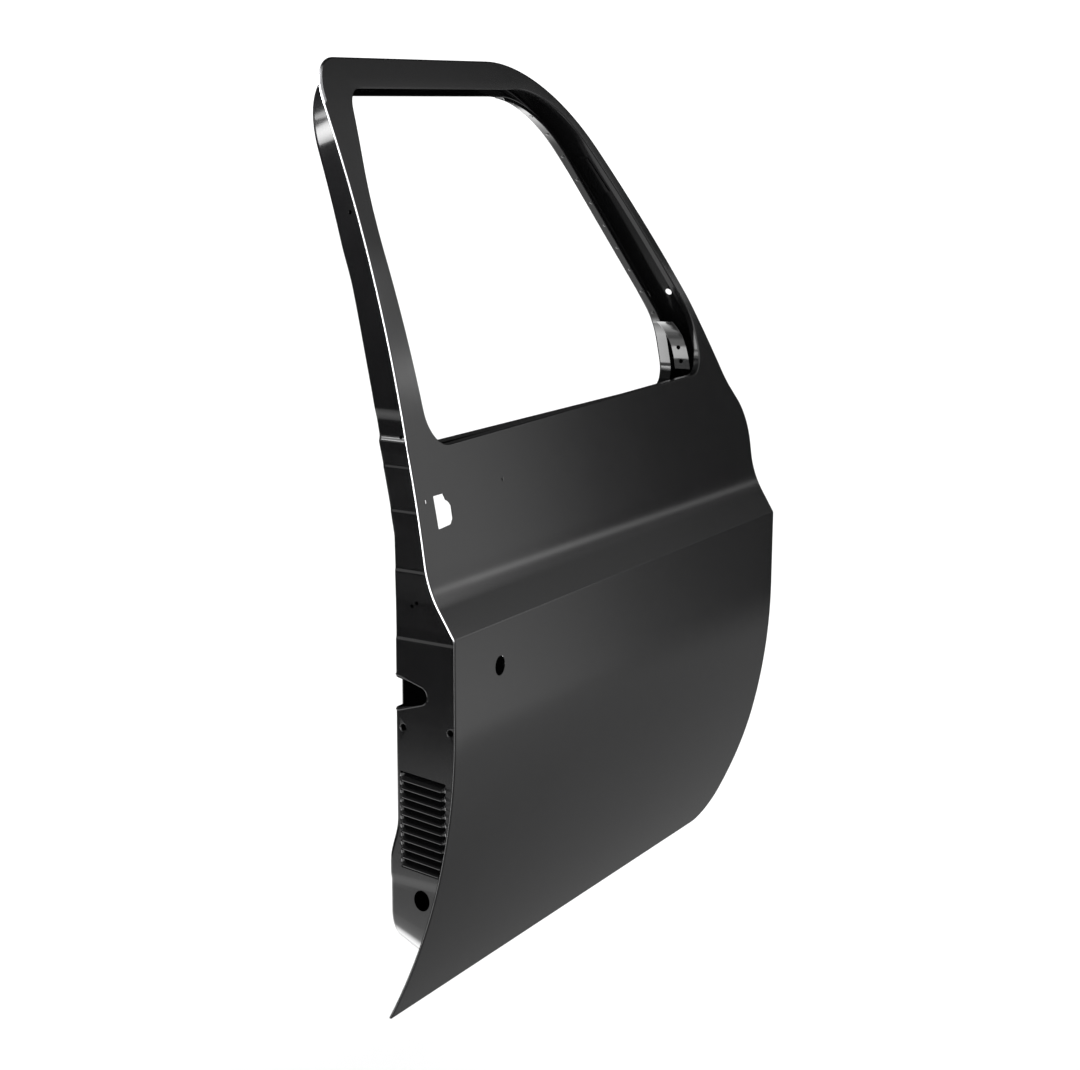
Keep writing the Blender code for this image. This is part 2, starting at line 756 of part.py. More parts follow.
def tray_outlines():
    """Foot and brow of the tray's walls, with the rear jamb's draft and steps in them."""
    foot_arcs = tray_ring(BOTTOM_FLANGE, *FOOT_INSETS, FRAME_FLANGE, FOOT_REACHES)
    brow_bottom = BOTTOM_FLANGE + BOTTOM_DRAFT
    brow_arcs = tray_ring(brow_bottom, *BROW_INSETS, FRAME_FLANGE + FRAME_DRAFT, BROW_REACHES)
    rows = sorted({*SKIN_Z, *INNER_Z, *(z for z, _ in JAMB_STEPS)})
    kept = [rows[0]]
    for z in rows[1:]:
        if z - kept[-1] > ROW_MARGIN:
            kept.append(z)
    foot, brow = matched_outlines([foot_arcs, brow_arcs], kept)
    foot = [Vector((p.x + jamb_shift(p.x, p.y, behind(p.y, FLANGE_FACE)), p.y)) for p in foot]
    brow = [Vector((p.x + jamb_shift(p.x, p.y, inner_y(p.y)), p.y)) for p in brow]
    return foot, brow


def access_openings():
    """Corners of the openings in the cabin-side face, from the rear foot of each, forward and round."""
    main_foot, main_head = (DOOR_LENGTH - setback for setback in MAIN_ACCESS_SETBACKS)
    speaker_rear, speaker_head, speaker_front = (DOOR_LENGTH - setback for setback in SPEAKER_SETBACKS)
    upper_rear, upper_head, upper_front = (DOOR_LENGTH - setback for setback in UPPER_ACCESS_SETBACKS)
    upper_low, upper_high = UPPER_ACCESS_HEIGHTS
    return (
        [Vector(p) for p in LATCH_ACCESS],
        box(*REAR_ACCESS, BOTTOM + REAR_ACCESS_RISE, REAR_ACCESS_TOP),
        [
            Vector((MAIN_ACCESS_REAR, BOTTOM + MAIN_ACCESS_RISE)),
            Vector((main_foot, BOTTOM + MAIN_ACCESS_RISE)),
            Vector((main_head, MAIN_ACCESS_TOP)),
            Vector((MAIN_ACCESS_REAR, MAIN_ACCESS_TOP)),
        ],
        [
            Vector((speaker_rear, BOTTOM + SPEAKER_RISE)),
            Vector((speaker_front, BOTTOM + SPEAKER_RISE)),
            Vector((speaker_front, SPEAKER_TOP)),
            Vector((speaker_head, SPEAKER_TOP)),
        ],
        [
            Vector((upper_rear, upper_low)),
            Vector((upper_front, upper_low)),
            Vector((upper_head, upper_high)),
            Vector((upper_rear, upper_high)),
        ],
    )


def service_holes():
    """Centre and radius of the round holes in the cabin-side face."""
    middle = access_middle()
    clips = [
        (0.248, -0.040),
        (middle - 0.025, 0.012),
        (middle + 0.055, 0.034),
        (0.070, BOTTOM + CLIP_RISE),
        (0.345, BOTTOM + CLIP_RISE),
        (DOOR_LENGTH - 0.260, BOTTOM + CLIP_RISE),
    ]
    bores = [*regulator_nuts(), *ARMREST_NUTS, (0.330, 0.190), (DOOR_LENGTH - 0.330, 0.190)]
    return (
        (middle, *CRANK_HOLE),
        HANDLE_ROD_HOLE,
        *((x, z, CLIP_RADIUS) for x, z in clips),
        *((x, z, NUT_BORE) for x, z in bores),
    )


def access_middle():
    """Middle of the main opening's foot, where the window crank sits."""
    return (MAIN_ACCESS_REAR + DOOR_LENGTH - MAIN_ACCESS_SETBACKS[0]) / 2


def regulator_nuts():
    """Places of the weld nuts that carry the window regulator."""
    half = REGULATOR_SPACING / 2
    return [(access_middle() + side * half, z) for side in (-1, 1) for z in REGULATOR_HEIGHTS]


def louvre_count():
    """How many slats fit above the jamb's foot and clear of where the skin tucks in."""
    count = int((LOUVRE_TOP - BOTTOM - LOUVRE_FOOT_RISE) / LOUVRE_PITCH)
    while behind(LOUVRE_TOP - LOUVRE_PITCH * (count + 1), FLANGE_FACE) > LOUVRE_OUTER - LOUVRE_MARGIN:
        count -= 1
    return count


def louvre_bank(bm, boundary):
    """The slats, twisted out of the jamb's plane between slots, joined to the wall round them."""
    shares = (0.0, 1.0, 1.0, 0.0)
    stations = (0.0, LOUVRE_END, LOUVRE_WIDTH - LOUVRE_END, LOUVRE_WIDTH)
    half_slot = LOUVRE_SLOT / 2

    def vert(column, z, twist):
        y = LOUVRE_OUTER + stations[column]
        drop = LOUVRE_TILT * (LOUVRE_WIDTH - stations[column])
        x = REAR_FLANGE + JAMB_DRAFT * y + twist * shares[column]
        return bm.verts.new((x, y, z - drop))

    rows = []
    for i in range(louvre_count()):
        top = LOUVRE_TOP - LOUVRE_PITCH * i - half_slot
        foot = LOUVRE_TOP - LOUVRE_PITCH * (i + 1) + half_slot
        heights = ((top, LOUVRE_TWIST_IN), ((top + foot) / 2, 0.0), (foot, -LOUVRE_TWIST_OUT))
        slat = [[vert(c, z, twist) for c in range(4)] for z, twist in heights]
        rows.append(slat)
        for upper, lower in zip(slat, slat[1:]):
            for c in range(3):
                bm.faces.new((upper[c], upper[c + 1], lower[c + 1], lower[c]))
    head = [vert(c, LOUVRE_TOP + half_slot, 0.0) for c in (0, 3)]
    foot = [vert(c, LOUVRE_TOP - LOUVRE_PITCH * louvre_count() - half_slot, 0.0) for c in (0, 3)]
    outer = [head[0], *(line[0] for slat in rows for line in slat), foot[0]]
    inner = [foot[1], *(line[3] for slat in reversed(rows) for line in reversed(slat)), head[1]]
    ring = outer + inner
    edges = []
    for i, v in enumerate(ring):
        pair = (ring[i - 1], v)
        edges.append(bm.edges.get(pair) or bm.edges.new(pair))
    fill(bm, edges + boundary, "wall")


def open_louvre_field(bm):
    """Clears the flat part of the rear jamb and returns the edges round the gap."""
    low = LOUVRE_TOP - LOUVRE_PITCH * (louvre_count() + 1)
    high = LOUVRE_TOP + LOUVRE_PITCH
    rear = [f for f in in_region(bm, "wall") if max(v.co.x for v in f.verts) < 3 * REAR_FLANGE]
    field = [f for f in rear if min(v.co.z for v in f.verts) < high and max(v.co.z for v in f.verts) > low]
    inside = {e for f in field for e in f.edges}
    edges = [e for e in inside if sum(f in field for f in e.link_faces) == 1]
    bmesh.ops.delete(bm, geom=field, context="FACES")
    return [e for e in edges if e.is_valid]


def latch_outline(grow):
    """Side of the latch notch, seen along the door, open past the cabin-side face."""
    far = INNER_DEPTH + FOOT_BULGE + 0.004
    nose = Vector((LATCH_NOSE_DEPTH + LATCH_NOSE_RADIUS, LATCH_NOSE_HEIGHT))
    radius = LATCH_NOSE_RADIUS + grow
    arc = [
        nose + Vector((-math.cos(a), math.sin(a))) * radius
        for a in (math.radians(-75 + 150 * i / 8) for i in range(9))
    ]
    return [Vector((far, LATCH_FOOT - grow)), *arc, Vector((far, LATCH_TOP + grow))]


def jamb_holes():
    """Cutting prisms for the holes through both jambs, the frame and the tray's floor."""
    rear_far = REAR_FLANGE + JAMB_DRAFT * (INNER_DEPTH + FOOT_BULGE)
    prisms = [(latch_outline(0.0), across, -0.010, rear_far + LATCH_WRAP)]
    plug = circle(PLUG_DEPTH, 0.0, PLUG_RADIUS, 16)
    plug = [Vector((p.x, BOTTOM + PLUG_RISE + PLUG_STRETCH * p.y)) for p in plug]
    prisms.append((plug, across, -0.010, 0.060))
    for y, z in LATCH_SCREWS:
        prisms.append((circle(y, z, LATCH_SCREW_RADIUS, 10), across, 0.0, 0.060))
    for hole in JAMB_SMALL_HOLES:
        prisms.append((circle(*hole, 8), across, 0.010, 0.062))
    for height in HINGE_HEIGHTS:
        prisms += hinge_holes(height, HINGE_BOLT_RADIUS)
    pillar_rear, pillar_front = (DOOR_LENGTH - setback for setback in PILLAR_HOLE_SETBACKS)
    prisms.append((circle(*PILLAR_HOLE, 10), across, pillar_rear, pillar_front))
    floor = BOTTOM + BOTTOM_FLANGE
    for x in (DRAIN_SETBACK, DOOR_LENGTH / 2, DOOR_LENGTH - DRAIN_SETBACK):
        slot = box(x - DRAIN_HALF_LENGTH, x + DRAIN_HALF_LENGTH, *DRAIN_DEPTHS)
        prisms.append((slot, upward, floor - DRAIN_REACH_DOWN, floor + DRAIN_REACH_UP))
    return prisms


def upward(u, v, d):
    """Cutter frame through the tray's floor: u forward, v inward, d up."""
    return u, v, d


def inner_panel(finish):
    """The inner panel: one deep-drawn tray with jambs, louvres, openings and the window frame."""
    foot, brow = tray_outlines()
    (edge,) = matched_outlines([door_ring(SKIN_GAUGE + FLANGE_EDGE_GAP)], [])
    (window,) = matched_outlines([inner_window_ring()], [])
    openings = []
    for corners, reach in zip(access_openings(), ACCESS_REACHES):
        widths = (0.0, JOGGLE_RUN, JOGGLE_RUN + JOGGLE_RIM)
        rings = [line_corners(side_lines(corners, [w] * 4)) for w in widths]
        reaches = [max(reach - w, SMALLEST_ACCESS_REACH) for w in widths]
        openings.append([sum(rounded(c, [r] * 4, [4] * 4), []) for c, r in zip(rings, reaches)])
    bm = new_sheet()
    layer = bm.faces.layers.int.get("region")
    _, edge_edges = add_loop(bm, edge)
    foot_verts, foot_edges = add_loop(bm, foot)
    on_wall, on_turn, on_face = rounded_brow(foot, brow)
    face_verts, face_edges = add_loop(bm, [Vector((p.x, p.z)) for p in on_face])
    fill(bm, edge_edges + foot_edges, "flange")
    loops = [window, *(rings[0] for rings in openings)]
    loops += [circle(x, z, r, 8 if r <= CLIP_RADIUS else 16) for x, z, r in service_holes()]
    fill(bm, face_edges + [e for loop in loops for e in add_loop(bm, loop)[1]], "face")
    wall_verts = [bm.verts.new(p) for p in on_wall]
    turn_verts = [bm.verts.new(p) for p in on_turn]
    lines = (foot_verts, wall_verts, turn_verts, face_verts)
    for lower, upper, region in zip(lines, lines[1:], ("wall", "turn", "turn")):
        for i in range(len(foot)):
            made = bm.faces.new((lower[i - 1], lower[i], upper[i], upper[i - 1]))
            made[layer] = REGIONS.index(region)
    cut_rows(bm, "flange", SKIN_Z[1:-1])
    cut_rows(bm, "face", INNER_Z[1:-1])
    merge_strips(bm, "flange")
    merge_strips(bm, "face")
    place(bm, "flange", lambda z: behind(z, FLANGE_FACE))
    place(bm, "face", inner_y)
    draw_rim(bm, rim(bm, window), window, window, lambda z, y: y - RETURN_DEPTH)
    for outer, slope, lip in openings:
        first = draw_rim(bm, rim(bm, outer), outer, slope, lambda z, y: y - JOGGLE_DEPTH)
        draw_rim(bm, first, slope, lip, lambda z, y: y)
    louvre_bank(bm, open_louvre_field(bm))
    face_region(bm, "face", 1.0)
    made = thicken(add_object("inner_panel", bm, finish), PANEL_GAUGE)
    return cut(made, jamb_holes())


def rounded_brow(foot, brow):
    """The rounded edge between the tray's walls and its face: points on the wall, the turn and the face."""
    arcs = []
    count = len(brow)
    for i in range(count):
        along = (brow[(i + 1) % count] - brow[i]).normalized() + (brow[i] - brow[i - 1]).normalized()
        inward = Vector((-along.y, along.x)).normalized() * JAMB_EDGE_RADIUS
        start = Vector((foot[i].x, behind(foot[i].y, FLANGE_FACE), foot[i].y))
        corner = Vector((brow[i].x, inner_y(brow[i].y), brow[i].y))
        z = corner.z + inward.y
        end = Vector((corner.x + inward.x, inner_y(z), z))
        arcs.append(corner_arc(start, corner, end, JAMB_EDGE_RADIUS, 2))
    return zip(*arcs)


def behind_skin(z, lift=0.0):
    """Depth of the skin side of a piece that lies against the back of the outer panel."""
    return behind(z, SKIN_GAUGE + SEAM_GAP + lift)


def outer_belt(finish):
    """Hat strip that stiffens the outer panel below the window."""
    front = DOOR_LENGTH - BELT_FRONT_SETBACK
    lines = [[(x, behind_skin(z, lift), z) for x in (BELT_REAR, front)] for z, lift in OUTER_BELT_RISE]
    return strip("outer_belt_reinforcement", lines, PLATE_GAUGE, finish, (0, -1, 0))


def inner_belt(finish):
    """Hat strip that stiffens the inner panel below the window."""
    front = DOOR_LENGTH - BELT_FRONT_SETBACK
    lines = []
    for z, lift in INNER_BELT_RISE:
        y = inner_y(z) - INNER_BELT_STRETCH * (PANEL_GAUGE + SEAM_GAP + lift)
        lines.append([(BELT_REAR, y, z), (front, y, z)])
    return strip("inner_belt_reinforcement", lines, PLATE_GAUGE, finish, (0, 1, 0))


def hinge_reinforcement(name, height, finish):
    """Plate behind the hinge face, bent round on to the inner panel's face."""
    x = HINGE_X - PANEL_GAUGE - SEAM_GAP
    y = INNER_DEPTH - PANEL_GAUGE - SEAM_GAP - 0.0003
    profile = [
        (x, HINGE_PLATE_OUTER),
        (x, HINGE_PLATE_TURN),
        (x - HINGE_PLATE_BEND, y),
        (x - HINGE_PLATE_REACH, y),
    ]
    lines = [[(a, b, height + side * HINGE_PLATE_TOP) for side in (-1, 1)] for a, b in profile]
    made = strip(name, lines, PLATE_GAUGE, finish, (1, 0.6, 0))
    return cut(made, hinge_holes(height, HINGE_BOLT_RADIUS))


def hinge_holes(height, radius):
    """Cutting prisms for one hinge's bolts."""
    prisms = []
    for dy, dz in HINGE_BOLTS:
        hole = circle(HINGE_CENTRE_DEPTH + dy, height + dz, radius, 10)
        prisms.append((hole, across, HINGE_X - 0.020, HINGE_X + 0.010))
    return prisms


def tapping_plate_face():
    """Forward face of the tapping plates."""
    return HINGE_X - PANEL_GAUGE - PLATE_GAUGE - 2 * SEAM_GAP


def tapping_plate(name, height, finish):
    """Thick threaded plate that floats behind the hinge reinforcement."""
    depths = (HINGE_CENTRE_DEPTH + side * TAPPING_PLATE_WIDTH / 2 for side in (-1, 1))
    outline = box(*depths, height - TAPPING_PLATE_HEIGHT / 2, height + TAPPING_PLATE_HEIGHT / 2)
    holes = [
        circle(HINGE_CENTRE_DEPTH + dy, height + dz, HINGE_THREAD_RADIUS, 10) for dy, dz in HINGE_BOLTS
    ]
    x = tapping_plate_face()
    return sheet(name, [outline, *holes], lambda u, v: (x, u, v), TAPPING_PLATE_GAUGE, finish, (1, 0, 0))


def plate_cage(name, height, finish):
    """Thin strap that keeps a tapping plate in place."""
    near = tapping_plate_face()
    far = near - TAPPING_PLATE_GAUGE - CAGE_SLACK
    inner = TAPPING_PLATE_HEIGHT / 2 + CAGE_SLACK + CAGE_GAUGE
    profile = (
        (near, -inner - CAGE_FLANGE),
        (near, -inner),
        (far - CAGE_GAUGE, -inner),
        (far - CAGE_GAUGE, inner),
        (near, inner),
        (near, inner + CAGE_FLANGE),
    )
    ends = (HINGE_CENTRE_DEPTH - CAGE_WIDTH / 2, HINGE_CENTRE_DEPTH + CAGE_WIDTH / 2)
    lines = [[(x, y, height + z) for y in ends] for x, z in profile]
    made = strip(name, lines, -CAGE_GAUGE, finish, (-1, 0, 0))
    return cut(made, hinge_holes(height, HINGE_BOLT_RADIUS))


def jamb_point(y, z, depth):
    """Point at a distance inside the rear jamb's plane."""
    slope = math.hypot(1.0, JAMB_DRAFT)
    return (REAR_FLANGE + JAMB_DRAFT * y + depth / slope, y - depth * JAMB_DRAFT / slope, z)


def latch_reinforcement(finish):
    """Plate behind the rear jamb round the latch notch."""
    depth = PANEL_GAUGE + SEAM_GAP
    name = "latch_reinforcement"
    spot = lambda u, v: jamb_point(u, v, depth)
    made = sheet(name, [box(*LATCH_PLATE)], spot, PLATE_GAUGE, finish, (-1, 0, 0))
    prisms = [(latch_outline(LATCH_CLEARANCE), across, 0.0, 0.060)]
    prisms += [(circle(y, z, LATCH_SCREW_RADIUS, 8), across, 0.0, 0.060) for y, z in LATCH_SCREWS]
    return cut(made, prisms)


def behind_plate(name, loops, finish):
    """A plate that follows the back of the outer panel."""
    return sheet(name, loops, lambda u, v: (u, behind_skin(v), v), PLATE_GAUGE, finish, (0, -1, 0), SKIN_Z)


def handle_reinforcement(finish):
    """Plate behind the opening and front screw of the outside handle."""
    outline = [Vector(p) for p in HANDLE_PLATE]
    opening = line_corners(side_lines([Vector(p) for p in HANDLE_CORNERS], [-HANDLE_PLATE_MARGIN] * 8))
    opening = [Vector((p.x, min(p.y, HANDLE_PLATE[2][1] - HANDLE_PLATE_MARGIN))) for p in opening]
    screw = circle(*HANDLE_SCREWS[1], HANDLE_SCREW_RADIUS, 8)
    return behind_plate("handle_reinforcement", [outline, opening, screw], finish)


def mirror_reinforcement(finish):
    """Plate behind the outer panel where the outside mirror is screwed on."""
    outline = [Vector((DOOR_LENGTH - setback, z)) for setback, z in MIRROR_PLATE_SETBACKS]
    holes = [circle(DOOR_LENGTH - setback, z, NUT_BORE, 8) for setback, z in MIRROR_SCREWS]
    return behind_plate("mirror_reinforcement", [outline, *holes], finish)


def pillar_liner(finish):
    """L-strip on the window flange, from the header round the corner and down the pillar."""
    arcs = inner_window_ring()
    rear = DOOR_LENGTH - LINER_REAR_SETBACK
    path = [p for p in arcs[2] + arcs[3] if p.y > LINER_FOOT and p.x > rear]
    path = [Vector((path[0].x + 0.001, LINER_FOOT)), *path, Vector((rear, path[-1].y))]
    lines = []
    for y_back, reveal in ((LINER_NEAR, 0.0), (LINER_FAR, 0.0), (LINER_FAR, LINER_TURN)):
        line = []
        for i, p in enumerate(path):
            along = (path[min(i + 1, len(path) - 1)] - path[max(i - 1, 0)]).normalized()
            q = p + Vector((-along.y, along.x)) * (SEAM_GAP + 0.0012 + reveal)
            line.append((q.x, inner_y(q.y) - y_back, q.y))
        lines.append(line)
    return strip("pillar_reinforcement", lines, PANEL_GAUGE, finish, (-0.5, 0, -0.5))


def corner_gusset(finish):
    """Curved L-strip that ties the frame to the body at the window's lower front corner."""
    lines = []
    for depth, shift in ((GUSSET_NEAR, 0.0), (GUSSET_FAR, 0.0), (GUSSET_FAR, GUSSET_TURN)):
        lines.append([(DOOR_LENGTH - setback + shift, behind(z, depth), z) for setback, z in GUSSET_LINE])
    made = strip("front_corner_gusset", lines, PANEL_GAUGE, finish, (-1, 0, 0))
    rear = DOOR_LENGTH - GUSSET_LINE[5][0] - GUSSET_TURN
    middle = (GUSSET_NEAR + GUSSET_FAR) / 2
    holes = [circle(behind(z, middle), z, NUT_BORE, 8) for z in GUSSET_HOLES]
    return cut(made, [(hole, across, rear, rear + 1.5 * GUSSET_TURN) for hole in holes])


def pillar_point(height, inset, depth):
    """Point inside the front pillar, by height, distance from the door's edge and depth."""
    corners = door_corners()
    foot, along = side_lines(corners, [inset] * 9)[5]
    p = foot + along * ((height - foot.y) / along.y)
    return (p.x, behind(height, depth), height)


def pillar_bracket(finish):
    """Small plate on the inside of the pillar wall."""
    lines = [
        [pillar_point(z, inset, depth) for z in (BRACKET_LOW, BRACKET_HIGH)]
        for inset, depth in zip(BRACKET_INSETS, BRACKET_DEPTHS)
    ]
    return strip("pillar_bracket", lines, PLATE_GAUGE, finish, (1, 0, 0))


def channel_bracket(name, x, z, finish):
    """Angle on the inner panel that holds a glass run channel."""
    y = INNER_DEPTH - PANEL_GAUGE - SEAM_GAP
    turn = x + CHANNEL_WIDTH
    profile = ((x, y), (turn, y), (turn, y - CHANNEL_REACH))
    lines = [[(a, b, z + side * CHANNEL_HALF_HEIGHT) for side in (-1, 1)] for a, b in profile]
    return strip(name, lines, PLATE_GAUGE, finish, (1, 1, 0))


def weld_nut(name, x, z, finish):
    """Hexagon nut on the back of the inner panel's face."""
    y = inner_y(z) - PANEL_GAUGE - SEAM_GAP
    loops = [circle(x, z, NUT_RADIUS, 6), circle(x, z, NUT_BORE, 8)]
    return sheet(name, loops, lambda u, v: (u, y, v), NUT_HEIGHT, finish, (0, 1, 0))


def start_scene():
    """Empties the scene and makes the door's collections and frame."""
    for old in list(bpy.data.objects):
        bpy.data.objects.remove(old)
    shell = bpy.data.collections.new("door_shell")
    cutters = bpy.data.collections.new("cutters")
    for collection in (shell, cutters):
        bpy.context.scene.collection.children.link(collection)
    frame = bpy.data.objects.new("door_frame", None)
    shell.objects.link(frame)
    frame.location = (-HINGE_X, -HINGE_CENTRE_DEPTH, -HINGE_HEIGHTS[0])
    return shell, cutters, frame


SHELL, CUTTERS, DOOR_FRAME = start_scene()
SKIN_PRIMER = material("skin_primer", (0.032, 0.032, 0.033), 0.42, 0.0)
PANEL_PRIMER = material("panel_primer", (0.020, 0.020, 0.021), 0.36, 0.0)
NUT_STEEL = material("nut_steel", (0.090, 0.088, 0.082), 0.45, 0.6)
outer_panel(SKIN_PRIMER)
inner_panel(PANEL_PRIMER)
outer_belt(PANEL_PRIMER)
inner_belt(PANEL_PRIMER)
for station, hinge_height in zip(("upper", "lower"), HINGE_HEIGHTS):
    hinge_reinforcement(station + "_hinge_reinforcement", hinge_height, PANEL_PRIMER)
    tapping_plate(station + "_tapping_plate", hinge_height, NUT_STEEL)
    plate_cage(station + "_plate_cage", hinge_height, PANEL_PRIMER)
latch_reinforcement(PANEL_PRIMER)
handle_reinforcement(PANEL_PRIMER)
mirror_reinforcement(PANEL_PRIMER)
pillar_liner(PANEL_PRIMER)
corner_gusset(PANEL_PRIMER)
pillar_bracket(PANEL_PRIMER)
channel_bracket("rear_channel_bracket", REAR_CHANNEL_X, BOTTOM + REAR_CHANNEL_RISE, PANEL_PRIMER)
channel_bracket("front_channel_bracket", DOOR_LENGTH - FRONT_CHANNEL_SETBACK, FRONT_CHANNEL_Z, PANEL_PRIMER)
for number, (nut_x, nut_z) in enumerate([*regulator_nuts(), *ARMREST_NUTS]):
    weld_nut(f"weld_nut_{number + 1}", nut_x, nut_z, NUT_STEEL)
bpy.context.view_layer.update()
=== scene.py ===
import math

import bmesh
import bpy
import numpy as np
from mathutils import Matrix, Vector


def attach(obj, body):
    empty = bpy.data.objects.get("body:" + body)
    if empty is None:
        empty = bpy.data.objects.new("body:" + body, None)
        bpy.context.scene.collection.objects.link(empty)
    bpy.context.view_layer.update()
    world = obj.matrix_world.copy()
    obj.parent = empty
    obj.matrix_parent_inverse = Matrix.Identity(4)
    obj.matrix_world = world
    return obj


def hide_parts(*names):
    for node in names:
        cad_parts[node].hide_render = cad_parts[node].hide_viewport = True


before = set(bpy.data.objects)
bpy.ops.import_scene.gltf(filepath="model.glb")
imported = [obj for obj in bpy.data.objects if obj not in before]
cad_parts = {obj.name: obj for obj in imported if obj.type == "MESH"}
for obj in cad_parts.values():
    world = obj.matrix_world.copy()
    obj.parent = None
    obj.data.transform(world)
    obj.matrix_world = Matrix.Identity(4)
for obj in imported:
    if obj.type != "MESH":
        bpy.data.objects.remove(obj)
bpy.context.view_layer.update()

# %% [markdown]
# # A pickup's door shell in black primer
# The imported door is already loaded as a frame: 24 solids that a simulator can use. They have the right
# shape and place, but few facets. Here the two big pressings and the strips in the window frame are
# drawn again with real press radii, and every piece gets its paint.
# First the tools are brought in. Nothing may grow past it.

# %% [markdown]
# ## The door's measurements
# While the door is drawn, x runs forward from its rear edge, y runs into the cabin from the crease and
# z runs up from the crease, because every flange and line of the real pressing is dimensioned that way.
# The frame has its origin at the upper hinge seat, so each finished mesh is shifted there once.

# %% Measurements in metres
SEAT = Vector((1.060, 0.070, 0.055))
DOOR_LENGTH = 1.090
BOTTOM = -0.529
BELT_RISE = 0.240
TOP = 0.733
REAR_LEAN = 0.025
REAR_SLOPE = REAR_LEAN / (TOP - BELT_RISE)
HINGE_X = 1.060
SHEET = 0.0010
SEAM_GAP = 0.0004
FLANGE_FACE = 2 * SHEET + SEAM_GAP
HEM_FACE = 3 * SHEET + 2 * SEAM_GAP
FOLD_STEPS = 6

# %% [markdown]
# ## Outlines with rounded corners
# A stamped outline is straight sides joined by arcs. A side is kept as a point and a direction, so it
# can be moved inward by any distance; the corners are where neighbouring sides meet, and each one is
# then replaced by an arc. Hems, flanges and folds are all such outlines, one inside the other.

# %% Outline helpers
def corner_arc(before, corner, after, reach, steps):
    """Points of the arc that rounds a corner, reaching the same length back along both sides."""
    towards = (before - corner).normalized()
    away = (after - corner).normalized()
    half = towards.angle(away) / 2
    turn = math.pi - 2 * half
    start = corner + towards * reach
    end = corner + away * reach
    if turn < 1e-4:
        return [start.lerp(end, i / steps) for i in range(steps + 1)]
    centre = corner + (towards + away).normalized() * (reach / math.cos(half))
    a = start - centre
    b = end - centre
    return [
        centre + (a * math.sin(turn * (1 - i / steps)) + b * math.sin(turn * i / steps)) / math.sin(turn)
        for i in range(steps + 1)
    ]


def rounded(corners, reaches, steps):
    """One arc of points for each corner of a closed outline."""
    arcs = []
    for i, corner in enumerate(corners):
        before = corners[i - 1]
        after = corners[(i + 1) % len(corners)]
        room = 0.47 * min((corner - before).length, (after - corner).length)
        arcs.append(corner_arc(before, corner, after, min(reaches[i], room), steps[i]))
    return arcs


def joined(arcs):
    """All points of an outline's arcs."""
    return [p for arc in arcs for p in arc]


def matched_outlines(arc_sets, rows):
    """Closed outlines with equal numbers of points, with a point at each row height on upright sides."""
    loops = [[] for _ in arc_sets]
    count = len(arc_sets[0])
    for i in range(count):
        sides = [(arcs[i][-1], arcs[(i + 1) % count][0]) for arcs in arc_sets]
        low = max(min(a.y, b.y) for a, b in sides) + 0.001
        high = min(max(a.y, b.y) for a, b in sides) - 0.001
        heights = [z for z in rows if low < z < high]
        if sides[0][0].y > sides[0][1].y:
            heights.reverse()
        for loop, arcs, (a, b) in zip(loops, arc_sets, sides):
            loop.extend(arcs[i])
            loop.extend(a.lerp(b, (z - a.y) / (b.y - a.y)) for z in heights)
    return loops


def moved(line, distance):
    """A line moved to its left."""
    point, along = line
    return point + Vector((-along.y, along.x)) * distance, along


def side_lines(corners, distances):
    """The sides of an outline, each moved inward by its own distance."""
    lines = []
    for i, distance in enumerate(distances):
        along = (corners[(i + 1) % len(corners)] - corners[i]).normalized()
        lines.append(moved((corners[i], along), distance))
    return lines


def line_corners(lines):
    """The corners where each line meets the one before it."""
    corners = []
    for i, (p, u) in enumerate(lines):
        q, v = lines[i - 1]
        gap = p - q
        corners.append(q + v * ((gap.x * u.y - gap.y * u.x) / (v.x * u.y - v.y * u.x)))
    return corners


def parallel_reaches(corners, reaches, inset):
    """Corner reaches that keep the arcs of a parallel outline concentric."""
    kept = []
    for i, reach in enumerate(reaches):
        before = corners[i] - corners[i - 1]
        after = corners[(i + 1) % len(corners)] - corners[i]
        kept.append(max(reach + inset * math.tan(before.angle_signed(after) / 2), 0.0008))
    return kept


def circle(x, z, radius, points):
    """A round outline."""
    angles = (2 * math.pi * i / points for i in range(points))
    return [Vector((x + radius * math.cos(a), z + radius * math.sin(a))) for a in angles]


# %% [markdown]
# ## The section of the outer panel
# Cut through the door from sill to roof and the outer skin is one line: it tucks under at the foot,
# stands upright to the crease, runs back into a cove, and then leans in towards the roof. The whole
# outer panel is this one section drawn out lengthways, so each height has one depth. Many closely
# spaced rows let the highlights along the crease and the cove run soft.

# %% Depth of the skin at each height
TUCK_TOP, TUCK_RADIUS = -0.120, 0.870
CREASE_LEAN, CREASE_RADIUS, CREASE_RISE = math.radians(31.0), 0.006, 0.036
COVE_RADIUS = 0.155
UPPER_LEAN, UPPER_RADIUS = math.radians(7.6), 2.350


